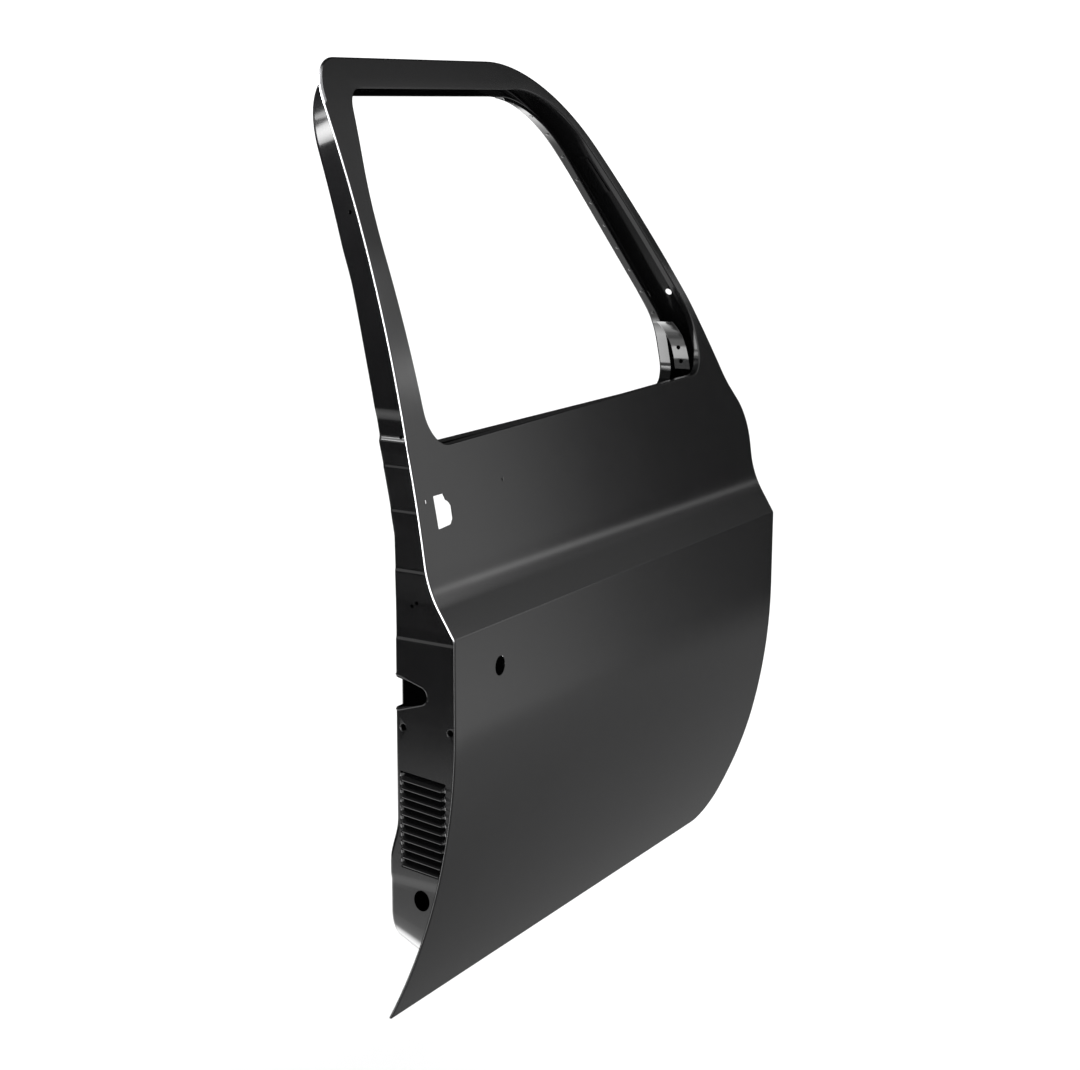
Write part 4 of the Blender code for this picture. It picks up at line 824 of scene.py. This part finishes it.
def jamb_punches():
    """Prisms for the holes through both jambs, the window frame and the tray's floor."""
    prisms = [(notch_outline(), across, -0.010, 0.055)]
    plug = [Vector((u, PLUG_HEIGHT + PLUG_STRETCH * v)) for u, v in circle(PLUG_DEPTH, 0.0, PLUG_RADIUS, 40)]
    prisms.append((plug, across, -0.010, 0.060))
    prisms += [(circle(*hole, 20), across, 0.010, 0.062) for hole in JAMB_HOLES]
    for height in HINGES:
        for dy, dz in HINGE_BOLTS:
            hole = circle(HINGE_DEPTH + dy, height + dz, BOLT_RADIUS, 28)
            prisms.append((hole, across, HINGE_X - 0.020, HINGE_X + 0.010))
    prisms.append((circle(*PILLAR_HOLE, 24), across, 0.885, 0.935))
    near, far = DRAIN_DEPTHS
    for x in DRAINS:
        rear, front = x - DRAIN_HALF, x + DRAIN_HALF
        slot = [Vector(p) for p in ((rear, near), (front, near), (front, far), (rear, far))]
        prisms.append((slot, upward, BOTTOM + 0.060, BOTTOM + 0.115))
    return prisms


# %% [markdown]
# ## The inner panel
# Now all of it comes together: flange, walls, face and window frame are one sheet with one gauge. The
# flange and the face are filled flat and given their depths, the walls join them point by point, and
# the window's edge is folded back towards the outer panel.

# %% Inner panel
INNER_EDGE = SHEET + 0.0014
WINDOW_FOLD, WINDOW_RETURN = 0.003, 0.020


def inner_panel():
    """The deep-drawn tray with jambs, louvres, openings and window frame."""
    sections = tray_sections(*tray_outlines())
    (edge,) = matched_outlines([door_ring(INNER_EDGE)], [])
    openings = access_rings()
    window = inner_window_ring(WINDOW_FOLD)
    bm = new_sheet()
    layer = bm.faces.layers.int.get("region")
    foot, brow = ([Vector((s[i].x, s[i].z)) for s in sections] for i in (0, -1))
    foot_verts, foot_edges = add_loop(bm, foot)
    brow_verts, brow_edges = add_loop(bm, brow)
    fill(bm, add_loop(bm, edge)[1] + foot_edges, "flange")
    loops = [window, *(rings[0] for rings in openings)]
    loops += [circle(x, z, r, 20 if r < 0.006 else 40) for x, z, r in SERVICE_HOLES]
    fill(bm, brow_edges + [e for loop in loops for e in add_loop(bm, loop)[1]], "face")
    between = [[bm.verts.new(s[i]) for s in sections] for i in range(1, len(sections[0]) - 1)]
    rows = [foot_verts, *between, brow_verts]
    for i, pair in enumerate(zip(rows, rows[1:])):
        for made in join_rows(bm, pair, closed=True):
            made[layer] = REGIONS.index("wall" if i == FOOT_STEPS else "turn")
    shape_region(bm, "flange", SKIN_Z[1:-1], lambda z: behind(z, FLANGE_FACE))
    shape_region(bm, "face", FACE_ROWS, inner_y)
    fold_rim(bm, rim(bm, window), inner_window_ring, WINDOW_FOLD, WINDOW_RETURN, -1.0)
    for rings in openings:
        edges = rim(bm, rings[0])
        for (here, there), ((_, before), (_, after)) in zip(zip(rings, rings[1:]), zip(JOGGLE, JOGGLE[1:])):
            drop = RIM_DEPTH * (after - before)
            edges = draw_rim(bm, edges, here, there, lambda z, y, drop=drop: y - drop)
    refill_jamb(bm)
    face_side(bm, in_region(bm, "face"), Vector((0.0, 1.0, 0.0)))
    return finish_piece("door_tray", bm, SHEET, "inner_panel", jamb_punches())


DOOR_TRAY = inner_panel()


# %% [markdown]
# ## The edge of the latch notch
# The notch's edge is rolled into a small bead, or the striker would catch on raw sheet. It is drawn as a
# thin tube that follows the notch and runs out over the tray's brow.

# %% Bead round the notch
BEAD_RADIUS, BEAD_POINTS = 0.0011, 8


def on_brow(z):
    """The jamb's turn into the cabin-side face, at a height."""
    wall, corner = jamb_at(0.080, z), jamb_at(INNER_DEPTH, z)
    return corner_arc(wall, corner, corner + Vector((0.020, 0.0, 0.0)), BROW_REACH, BROW_STEPS)


def notch_lip():
    """The bead that is rolled round the latch notch, followed on to the brow at its open end."""
    nose = [jamb_at(p.x, p.y) for p in notch_outline()[1:-1]]
    path = [*reversed(on_brow(NOTCH_LOW)), *nose, *on_brow(NOTCH_HIGH)]
    bm = bmesh.new()
    rings = []
    for i, p in enumerate(path):
        along = (path[min(i + 1, len(path) - 1)] - path[max(i - 1, 0)]).normalized()
        on_jamb = BROW_STEPS <= i < len(path) - BROW_STEPS
        outward = Vector((-1.0, JAMB_DRAFT, 0.0)) if on_jamb else Vector((-0.6, 0.8, 0.0))
        side = along.cross(outward).normalized()
        out = side.cross(along).normalized()
        ring = circle(0.0, 0.0, BEAD_RADIUS, BEAD_POINTS)
        rings.append([bm.verts.new(p + side * q.x + out * q.y) for q in ring])
    join_rows(bm, rings, closed=True)
    bm.faces.new(rings[0])
    bm.faces.new(reversed(rings[-1]))
    bmesh.ops.recalc_face_normals(bm, faces=bm.faces[:])
    made = mesh_object("notch_lip", bm)
    place_mesh(made, made.data)
    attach(made, "root")
    print("notch lip", len(made.data.polygons), "faces")
    return made


NOTCH_LIP = notch_lip()

# %% [markdown]
# ## Strips in the window frame
# Three small pressings stiffen the frame where the photograph looks through the window: a liner from
# the header round the corner and down the pillar, a curved gusset in the lower front corner, and a
# short plate on the pillar's inside. Each is a folded strip, so it is drawn as lines of points that
# follow one path at different depths, with an arc where the strip turns.

# %% Folded strips
LINER_FOOT, LINER_END, LINER_GAP = 0.325, 0.560, SEAM_GAP + 0.0012
GUSSET_MARKS = (
    (0.206, 0.330), (0.198, 0.325), (0.186, 0.315), (0.176, 0.303),
    (0.170, 0.288), (0.1685, 0.270), (0.171, 0.252),
)
BRACKET_HEIGHTS, BRACKET_INSETS = (0.538, 0.590), (0.0172, 0.0203)


def strip(name, lines, gauge, facing, prisms=()):
    """A folded strip: lines of points, one after another, joined by faces and given a wall."""
    bm = bmesh.new()
    join_rows(bm, [[bm.verts.new(p) for p in line] for line in lines])
    face_side(bm, bm.faces[:], Vector(facing))
    return finish_piece("fitted_" + name, bm, gauge, name, prisms)


def folded(near, far, turn, radius):
    """Section of a strip that runs in depth from near to far and then turns aside, as (aside, depth)."""
    arc = corner_arc(Vector((0.0, near)), Vector((0.0, far)), Vector((turn, far)), radius, 4)
    return [Vector((0.0, near)), *arc, Vector((turn, far))]


def liner_path():
    """The window's edge from low on the pillar, up round the corner and back along the header."""
    start = sum(steps + 1 for steps in WINDOW_STEPS[:2])
    arcs = inner_window_ring()[start:start + WINDOW_STEPS[2] + WINDOW_STEPS[3] + 2]
    path = [p for p in arcs if p.y > LINER_FOOT and p.x > LINER_END]
    return [Vector((path[0].x + 0.001, LINER_FOOT)), *path, Vector((LINER_END, path[-1].y))]


def pillar_liner():
    """L-strip on the window flange, from the header round the corner and down the pillar."""
    path = liner_path()
    lines = []
    for aside, depth in folded(0.004, 0.018, 0.004, 0.0016):
        line = []
        for i, p in enumerate(path):
            along = (path[min(i + 1, len(path) - 1)] - path[max(i - 1, 0)]).normalized()
            q = p + Vector((-along.y, along.x)) * (LINER_GAP + aside)
            line.append((q.x, inner_y(q.y) - depth, q.y))
        lines.append(line)
    return strip("pillar_reinforcement", lines, SHEET, (-0.5, 0, -0.5))


def corner_gusset():
    """Curved L-strip that ties the frame to the body at the window's lower front corner."""
    marks = GUSSET_MARKS[::-1]
    heights = np.linspace(marks[-1][1], marks[0][1], 25)
    setbacks = np.interp(heights, [z for _, z in marks], [s for s, _ in marks])
    lines = [
        [(DOOR_LENGTH - s + aside, behind(z, depth), z) for s, z in zip(setbacks, heights)]
        for aside, depth in folded(0.014, 0.041, 0.009, 0.002)
    ]
    holes = [
        (circle(behind(z, 0.0275), z, 0.0035, 20), across, DOOR_LENGTH - 0.1785, DOOR_LENGTH - 0.1635)
        for z in (0.264, 0.286)
    ]
    return strip("front_corner_gusset", lines, SHEET, (-1, 0, 0), holes)


def pillar_bracket():
    """Small plate on the inside of the pillar wall."""
    lines = []
    for share in np.linspace(0.0, 1.0, 5):
        inset = BRACKET_INSETS[0] + (BRACKET_INSETS[1] - BRACKET_INSETS[0]) * share
        foot, along = side_lines(DOOR_CORNERS, [inset] * 9)[5]
        line = []
        for z in BRACKET_HEIGHTS:
            p = foot + along * ((z - foot.y) / along.y)
            line.append((p.x, behind(z, 0.016 + 0.020 * share), z))
        lines.append(line)
    return strip("pillar_bracket", lines, 0.0015, (1, 0, 0))


FITTED = [pillar_liner(), corner_gusset(), pillar_bracket()]

# %% [markdown]
# ## Spot welds
# The strips are held by spot welds, and each one leaves a small round dent with a raised rim where the
# electrodes pinched the sheets. They repeat along a path, so Geometry Nodes set them: a line of points
# carries a facing direction, one small dished disc is put on each point, and the tree ends as a mesh.
# A helper adds a node together with the values and links of its sockets.

# %% Spot weld tree
WELD_SIDES, WELD_FLAT = 20, 0.72


def add_node(tree, kind, settings=(), **values):
    """Adds a node, its settings first, and then the values or links of its sockets."""
    made = tree.nodes.new(kind)
    for key, value in dict(settings).items():
        setattr(made, key, value)
    for key, value in values.items():
        target = made.inputs[int(key[1:])] if key[0] == "_" else made.inputs[key.replace("_", " ")]
        if isinstance(value, bpy.types.NodeSocket):
            tree.links.new(value, target)
        else:
            target.default_value = value
    return made


def spot_weld_tree(material):
    """Geometry Nodes that set a shallow dished disc on every point, turned to its facing direction."""
    tree = bpy.data.node_groups.new("spot_welds", "GeometryNodeTree")
    tree.interface.new_socket("Geometry", in_out="INPUT", socket_type="NodeSocketGeometry")
    radius = tree.interface.new_socket("Radius", in_out="INPUT", socket_type="NodeSocketFloat")
    height = tree.interface.new_socket("Height", in_out="INPUT", socket_type="NodeSocketFloat")
    tree.interface.new_socket("Geometry", in_out="OUTPUT", socket_type="NodeSocketGeometry")
    given = tree.nodes.new("NodeGroupInput").outputs
    top = add_node(tree, "ShaderNodeMath", {"operation": "MULTIPLY"}, _0=given["Radius"], _1=WELD_FLAT)
    disc = add_node(
        tree, "GeometryNodeMeshCone", Vertices=WELD_SIDES, Side_Segments=2, Fill_Segments=2,
        Radius_Top=top.outputs[0], Radius_Bottom=given["Radius"], Depth=given["Height"],
    )
    facing = add_node(tree, "GeometryNodeInputNamedAttribute", {"data_type": "FLOAT_VECTOR"}, Name="facing")
    turn = add_node(tree, "FunctionNodeAlignRotationToVector", {"axis": "Z"}, Vector=facing.outputs[0])
    spots = add_node(
        tree, "GeometryNodeInstanceOnPoints", Points=given["Geometry"], Instance=disc.outputs["Mesh"],
        Rotation=turn.outputs["Rotation"],
    )
    real = add_node(tree, "GeometryNodeRealizeInstances", Geometry=spots.outputs["Instances"])
    smooth = add_node(tree, "GeometryNodeSetShadeSmooth", Geometry=real.outputs["Geometry"])
    coated = add_node(tree, "GeometryNodeSetMaterial", Geometry=smooth.outputs["Geometry"], Material=material)
    add_node(tree, "NodeGroupOutput", Geometry=coated.outputs["Geometry"])
    return tree, radius.identifier, height.identifier


# %% [markdown]
# ## Primer
# The shell is dipped: every surface carries the same thin electrocoat, black with a satin sheen. It is
# nearly smooth, with a faint orange peel a few millimetres wide, and its sheen drifts a little where the
# coat ran thicker. The outer skin is duller than the inner panel, which the bath leaves glossier. On the
# On the nose of the rear hem, above the crease and round the top corner, a hair-thin bright metallic line is
# painted as a highlight.
# A small class lets shader maths be written as plain expressions.

# %% Shader maths
class Maths:
    """A shader socket that adds Math nodes when it is used in an expression."""

    def __init__(self, tree, socket):
        self.tree = tree
        self.socket = socket

    def node(self, kind, settings=(), **values):
        """Adds a node whose values may be expressions."""
        plain = {key: value.socket if isinstance(value, Maths) else value for key, value in values.items()}
        return add_node(self.tree, kind, settings, **plain)

    def maths(self, operation, first, second):
        """A Math node on two values."""
        made = self.node("ShaderNodeMath", {"operation": operation}, _0=first, _1=second)
        return Maths(self.tree, made.outputs[0])

    def __add__(self, other):
        return self.maths("ADD", self, other)

    def __mul__(self, other):
        return self.maths("MULTIPLY", self, other)

    def __sub__(self, other):
        return self.maths("SUBTRACT", self, other)

    def __rsub__(self, other):
        return self.maths("SUBTRACT", other, self)

    def __truediv__(self, other):
        return self.maths("DIVIDE", self, other)

    __radd__, __rmul__ = __add__, __mul__

    def root(self):
        """The square root."""
        return self.maths("SQRT", self, 0.0)

    def ease(self, start, end):
        """0 before start, 1 after end, and a smooth step between. Start may lie above end."""
        settings = {"interpolation_type": "SMOOTHSTEP"}
        made = self.node("ShaderNodeMapRange", settings, Value=self, From_Min=start, From_Max=end)
        return Maths(self.tree, made.outputs["Result"])

    def axes(self):
        """The x, y and z parts of a vector."""
        made = self.node("ShaderNodeSeparateXYZ", Vector=self)
        return [Maths(self.tree, made.outputs[axis]) for axis in "XYZ"]


# %% Coats
# The hem's bright line is a painted highlight: a metallic steel colour laid along the rounded rear edge.
GLINT_RADIUS = DOOR_REACHES[7] / math.tan((math.pi / 2 + math.atan(REAR_SLOPE)) / 2)
GLINT_X, GLINT_Z = door_ring(0.0)[7][0].x, TOP - GLINT_RADIUS
GLINT_FADE = 0.002
GLINT_STEEL_COLOUR = (0.80, 0.80, 0.82, 1.0)


def painted_glint_line(place):
    """Mask of the painted highlight: 1 within a quarter of a millimetre of the door's rear edge, from the
    crease to the top corner.
    """
    x, _, z = place.axes()
    along, height = x + SEAT.x, z + SEAT.z
    above_belt = height - BELT_RISE
    straight = along - above_belt.maths("MAXIMUM", above_belt, 0.0) * REAR_SLOPE
    aside, above = along - GLINT_X, height - GLINT_Z
    round_corner = GLINT_RADIUS - (aside * aside + above * above).root()
    from_edge = straight + (round_corner - straight) * height.ease(GLINT_Z - GLINT_FADE, GLINT_Z + GLINT_FADE)
    line = from_edge.ease(0.0006, 0.00025) * height.ease(-0.004, 0.004) * height.ease(0.724, 0.700)
    return line * along.ease(GLINT_X + GLINT_FADE, GLINT_X - GLINT_FADE)


def primer(name, colour, sheen, peel, painted_glint=False):
    """Satin black electrocoat: faint orange peel, a sheen that drifts over the panel, and a painted highlight
    line if asked.
    """
    made = bpy.data.materials.new(name)
    made.use_nodes = True
    tree = made.node_tree
    shader = tree.nodes["Principled BSDF"]
    place = Maths(tree, tree.nodes.new("ShaderNodeTexCoord").outputs["Object"])

    def noise(scale, detail):
        made = place.node("ShaderNodeTexNoise", Vector=place, Scale=scale, Detail=detail)
        return Maths(tree, made.outputs["Fac"])

    drift, cloud, grain = noise(3.0, 3.0), noise(42.0, 4.0), noise(520.0, 2.0)
    tree.links.new((sheen + (drift - 0.5) * 0.06 + (cloud - 0.5) * 0.03).socket, shader.inputs["Roughness"])
    thin, thick = ((*(share * c for c in colour), 1.0) for share in (0.72, 1.28))
    blend = {"data_type": "RGBA"}
    coat = place.node("ShaderNodeMix", blend, _0=cloud * 0.5 + drift * 0.5, _6=thin, _7=thick).outputs[2]
    # Painted highlight: the hem nose gets a bright metallic steel colour in place of the primer.
    if painted_glint:
        glint = painted_glint_line(place) * (0.75 + 0.5 * cloud)
        glinted = place.node("ShaderNodeMix", blend, _0=glint, _7=GLINT_STEEL_COLOUR)
        tree.links.new(coat, glinted.inputs[6])
        coat = glinted.outputs[2]
        tree.links.new((glint * 0.9).socket, shader.inputs["Metallic"])
    tree.links.new(coat, shader.inputs["Base Color"])
    bump = place.node("ShaderNodeBump", Height=grain * 0.5 + cloud * 0.6, Strength=peel, Distance=0.0002)
    tree.links.new(bump.outputs["Normal"], shader.inputs["Normal"])
    return made


# The skin's coat carries the painted highlight along its hem.
SKIN_PRIMER_AND_GLINT = primer("skin_primer_and_painted_glint", (0.0045, 0.0045, 0.0047), 0.16, 0.06, painted_glint=True)
PANEL_PRIMER = primer("panel_primer_coat", (0.0028, 0.0028, 0.0030), 0.12, 0.05)
# Prints where the painted highlight turns round the top corner.
print("painted glint corner", round(GLINT_X, 4), round(GLINT_Z, 4), "radius", round(GLINT_RADIUS, 4))
NUT_STEEL = primer("nut_steel_coat", (0.030, 0.029, 0.027), 0.42, 0.25)
NUT_STEEL.node_tree.nodes["Principled BSDF"].inputs["Metallic"].default_value = 0.4

# %% [markdown]
# ## Paint on every piece
# The drawn pieces take the two primers, and the solids that stay from the frame get a coat by their
# names: primer on plates and brackets, plain steel on nuts and tapping plates.

# %% Painting
def paint(piece, material):
    """Gives a piece one material."""
    piece.data.materials.clear()
    piece.data.materials.append(material)


paint(DOOR_SKIN, SKIN_PRIMER_AND_GLINT)
for piece in (DOOR_TRAY, NOTCH_LIP, *FITTED):
    paint(piece, PANEL_PRIMER)
SOLIDS = [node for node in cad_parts.values() if not node.hide_render]
for node in SOLIDS:
    steel = node.name.startswith("weld_nut") or node.name.endswith("tapping_plate")
    paint(node, NUT_STEEL if steel else PANEL_PRIMER)
print("painted", len(SOLIDS), "solids of the frame")

# %% [markdown]
# ## Setting the welds
# Welds sit every 45 mm along the liner.

# %% Spot welds in place
WELD_RADIUS, WELD_RISE = 0.0032, 0.00035
WELD_START, WELD_SPACING, WELD_DEPTH = 0.020, 0.045, 0.010


def weld_points():
    """Places and facing directions of the spot welds, in the drawing frame."""
    spots = []
    gone, due = 0.0, WELD_START
    path = liner_path()
    for a, b in zip(path, path[1:]):
        length = (b - a).length
        normal = Vector((-(b - a).y, (b - a).x)).normalized()
        while gone + length > due:
            p = a.lerp(b, (due - gone) / length) + normal * LINER_GAP
            spots.append(((p.x, inner_y(p.y) - WELD_DEPTH, p.y), (normal.x, 0.0, normal.y)))
            due += WELD_SPACING
        gone += length
    return spots


def set_welds():
    """Runs the spot weld tree on its points and keeps the result as one mesh."""
    spots = weld_points()
    mesh = bpy.data.meshes.new("spot_welds")
    mesh.from_pydata([Vector(p) - SEAT for p, _ in spots], [], [])
    facing = mesh.attributes.new("facing", "FLOAT_VECTOR", "POINT")
    facing.data.foreach_set("vector", [c for _, n in spots for c in n])
    made = linked("spot_welds", mesh)
    tree, radius, height = spot_weld_tree(PANEL_PRIMER)
    modifier = made.modifiers.new("welds", "NODES")
    modifier.node_group = tree
    modifier[radius], modifier[height] = WELD_RADIUS, WELD_RISE
    made.data = shaped(made)
    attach(made, "root")
    print("spot welds", len(spots), "faces", len(made.data.polygons))


set_welds()

# %% [markdown]
# ## Camera
# The photograph was taken from behind and outside the door, 0.7 m above its crease and about three
# metres away. The camera stands there and looks slightly down, with the lens that the lines of the
# photograph give.

# %% Camera
CAMERA_PLACE = Vector((-2.5635, -1.4519, 0.6782))
CAMERA_LENS, SENSOR = 78.93, 36.0
HEADING, PITCH = (0.8877, 0.4605), math.radians(10.41)


def aim(made, look):
    """Turns a camera or a light to look along a direction."""
    made.rotation_mode = "QUATERNION"
    made.rotation_quaternion = look.to_track_quat("-Z", "Y")


def add_camera():
    """The camera at the photograph's place and angle."""
    lens = bpy.data.cameras.new("view")
    lens.lens = CAMERA_LENS
    lens.sensor_width = SENSOR
    made = linked("view", lens)
    made.location = CAMERA_PLACE - SEAT
    aim(made, Vector((*(c * math.cos(PITCH) for c in HEADING), -math.sin(PITCH))))
    return made


bpy.context.scene.camera = add_camera()

# %% [markdown]
# ## Floor and light
# A plain pale floor lies below the door. Black satin paint shows little but what it mirrors, so each
# light is placed where one face of the door mirrors it. Upright strips make a soft wall outside and
# ahead of the door. They fade forward, so the skin darkens from its rear edge to its front. A rising
# row of strips draws the highlight in the cove, and two small panels light the top of the rear jamb.

# %% Floor
FLOOR_LEVEL, FLOOR_RADIUS = -0.95, 30.0


def add_floor():
    """A pale round floor below the door."""
    bm = bmesh.new()
    bm.faces.new([bm.verts.new((p.x, p.y, FLOOR_LEVEL)) for p in circle(0.0, 0.0, FLOOR_RADIUS, 96)])
    made = mesh_object("floor", bm)
    pale = bpy.data.materials.new("pale_floor")
    pale.use_nodes = True
    shader = pale.node_tree.nodes["Principled BSDF"]
    shader.inputs["Base Color"].default_value = (0.93, 0.93, 0.93, 1.0)
    shader.inputs["Roughness"].default_value = 0.9
    made.data.materials.append(pale)
    made.visible_glossy = False
    made.visible_shadow = False


add_floor()

# %% Soft panels
def soft_panel(name, place, target, width, height, brightness):
    """A large soft light that faces a target and shows a given brightness. Returns its data."""
    light = bpy.data.lights.new(name, "AREA")
    light.shape = "RECTANGLE"
    light.size = width
    light.size_y = height
    light.energy = brightness * math.pi * width * height
    made = linked(name, light)
    made.location = place
    aim(made, Vector(target) - Vector(place))
    made.visible_camera = False
    return light


def fading(middle, brightness, full_to, run):
    """The brightness of a strip in a row that fades forward of a place."""
    return brightness * math.exp(-max(middle - full_to, 0.0) / run)


def wall_strip(name, middle, width, low, high, brightness):
    """One upright strip of the soft wall beside the door."""
    height = (low + high) / 2
    soft_panel(name, (middle, WALL_Y, height), (middle, 0.0, height), width, high - low, brightness)


WALL_Y = -2.47
WALL_FROM, WALL_STRIP, WALL_STRIPS = 1.9, 0.3, 16
WALL_LOW, WALL_SPLIT, WALL_HIGH = -1.62, -0.42, 1.72
COVE_FROM, COVE_STRIP, COVE_STRIPS = 2.9, 0.4, 10
COVE_LOW, COVE_RISE, COVE_HEIGHT, COVE_BASE = 0.80, 0.045, 0.20, 0.75

for i in range(WALL_STRIPS):
    middle = WALL_FROM + WALL_STRIP * (i + 0.5)
    upper, lower = fading(middle, 0.90, 3.40, 0.36), fading(middle, 0.60, 3.70, 0.68)
    wall_strip("upper_wall_" + str(i + 1), middle, WALL_STRIP, WALL_SPLIT, WALL_HIGH, upper)
    wall_strip("lower_wall_" + str(i + 1), middle, WALL_STRIP, WALL_LOW, WALL_SPLIT, lower)
for i in range(COVE_STRIPS):
    middle = COVE_FROM + COVE_STRIP * (i + 0.5)
    height = COVE_LOW + COVE_RISE * i
    brightness = COVE_BASE + fading(middle, 1.7, 3.7, 0.6)
    wall_strip("cove_strip_" + str(i + 1), middle, COVE_STRIP, height, height + COVE_HEIGHT, brightness)

# %% Panels for the rear jamb
CORNER_PANELS = (
    ("corner_panel_high", (-1.29, 0.50, 0.98), (-1.03, 0.12, 0.62), 0.44, 0.38, 2.4),
    ("corner_panel_low", (-1.43, 0.53, 0.80), (-1.03, 0.12, 0.60), 0.44, 0.44, 2.4),
)
CORNER_SPREAD = math.radians(45)
for panel in CORNER_PANELS:
    soft_panel(*panel).spread = CORNER_SPREAD
print("soft lights", 2 * WALL_STRIPS + COVE_STRIPS + len(CORNER_PANELS))

# %% [markdown]
# ## What the paint mirrors
# The camera sees plain white behind the door, and the paint mirrors a darker room over a pale floor.
# Where a mirrored ray goes is told by three values between -1 and 1: up, how steeply it rises, and
# ahead and inward, how far its level part points along the door and towards the cabin. Each ease below
# is the soft edge of one patch of the room.

# %% Surround
def add_surround():
    """A white backdrop for the camera, and for what the paint mirrors a dark room over a pale floor."""
    world = bpy.data.worlds.new("surround")
    world.use_nodes = True
    tree = world.node_tree
    place = Maths(tree, tree.nodes.new("ShaderNodeTexCoord").outputs["Generated"])
    x, y, up = place.axes()
    level = (x * x + y * y + 1e-4).root()
    ahead, inward = x / level, y / level
    cabin_side = inward.ease(0.30, 0.45)
    camera_side = ahead.ease(0.45, 0.10) * inward.ease(0.35, 0.20)

    foot_light = 5.0 * up.ease(-0.56, -0.70) * (1.0 - 0.7 * up.ease(-0.80, -0.92)) * ahead.ease(-0.25, 0.10)
    cabin_floor = 1.3 + 0.9 * up.ease(-0.32, -0.36) - 0.8 * up.ease(-0.70, -0.84) + foot_light
    cabin_floor = cabin_floor * (0.2 + 0.8 * inward.ease(0.52, 0.66))
    cabin_room = 0.03 + 1.2 * up.ease(-0.06, 0.18) * (1.0 - 0.9 * up.ease(0.30, 0.45)) * ahead.ease(0.2, -0.1)
    corner_light = inward.ease(0.25, 0.35) * inward.ease(0.66, 0.58) * ahead.ease(-0.50, -0.65)
    corner_light = corner_light * up.ease(-0.85, -0.25) * up.ease(0.10, 0.0) * 14.0
    cabin = corner_light + cabin_room + (cabin_floor - cabin_room) * up.ease(-0.274, -0.277)

    behind_camera = 0.4 + 2.0 * up.ease(-0.26, -0.18) * up.ease(0.9, 0.6)
    side_floor = (0.53 - 0.22 * up.ease(-0.4, -0.9)) * (0.60 + 0.40 * inward.ease(-0.36, -0.49))
    side_room = 0.02 + 0.45 * inward.ease(-0.31, -0.40) * up.ease(0.18, 0.28)
    side_room = side_room * (1.0 - 0.5 * up.ease(0.33, 0.45))
    side = side_room + (side_floor - side_room) * up.ease(-0.19, -0.29)
    mirrored = side + (behind_camera - side) * camera_side
    mirrored = mirrored + (cabin - mirrored) * cabin_side

    backdrop = tree.nodes["Background"]
    backdrop.inputs["Color"].default_value = (1.0, 1.0, 1.0, 1.0)
    backdrop.inputs["Strength"].default_value = 1.25
    dim = place.node("ShaderNodeBackground", Strength=mirrored)
    path = tree.nodes.new("ShaderNodeLightPath")
    mix = tree.nodes.new("ShaderNodeMixShader")
    tree.links.new(path.outputs["Is Glossy Ray"], mix.inputs["Fac"])
    tree.links.new(backdrop.outputs["Background"], mix.inputs[1])
    tree.links.new(dim.outputs["Background"], mix.inputs[2])
    tree.links.new(mix.outputs["Shader"], tree.nodes["World Output"].inputs["Surface"])
    bpy.context.scene.world = world


add_surround()
bpy.context.scene.view_settings.view_transform = "Standard"
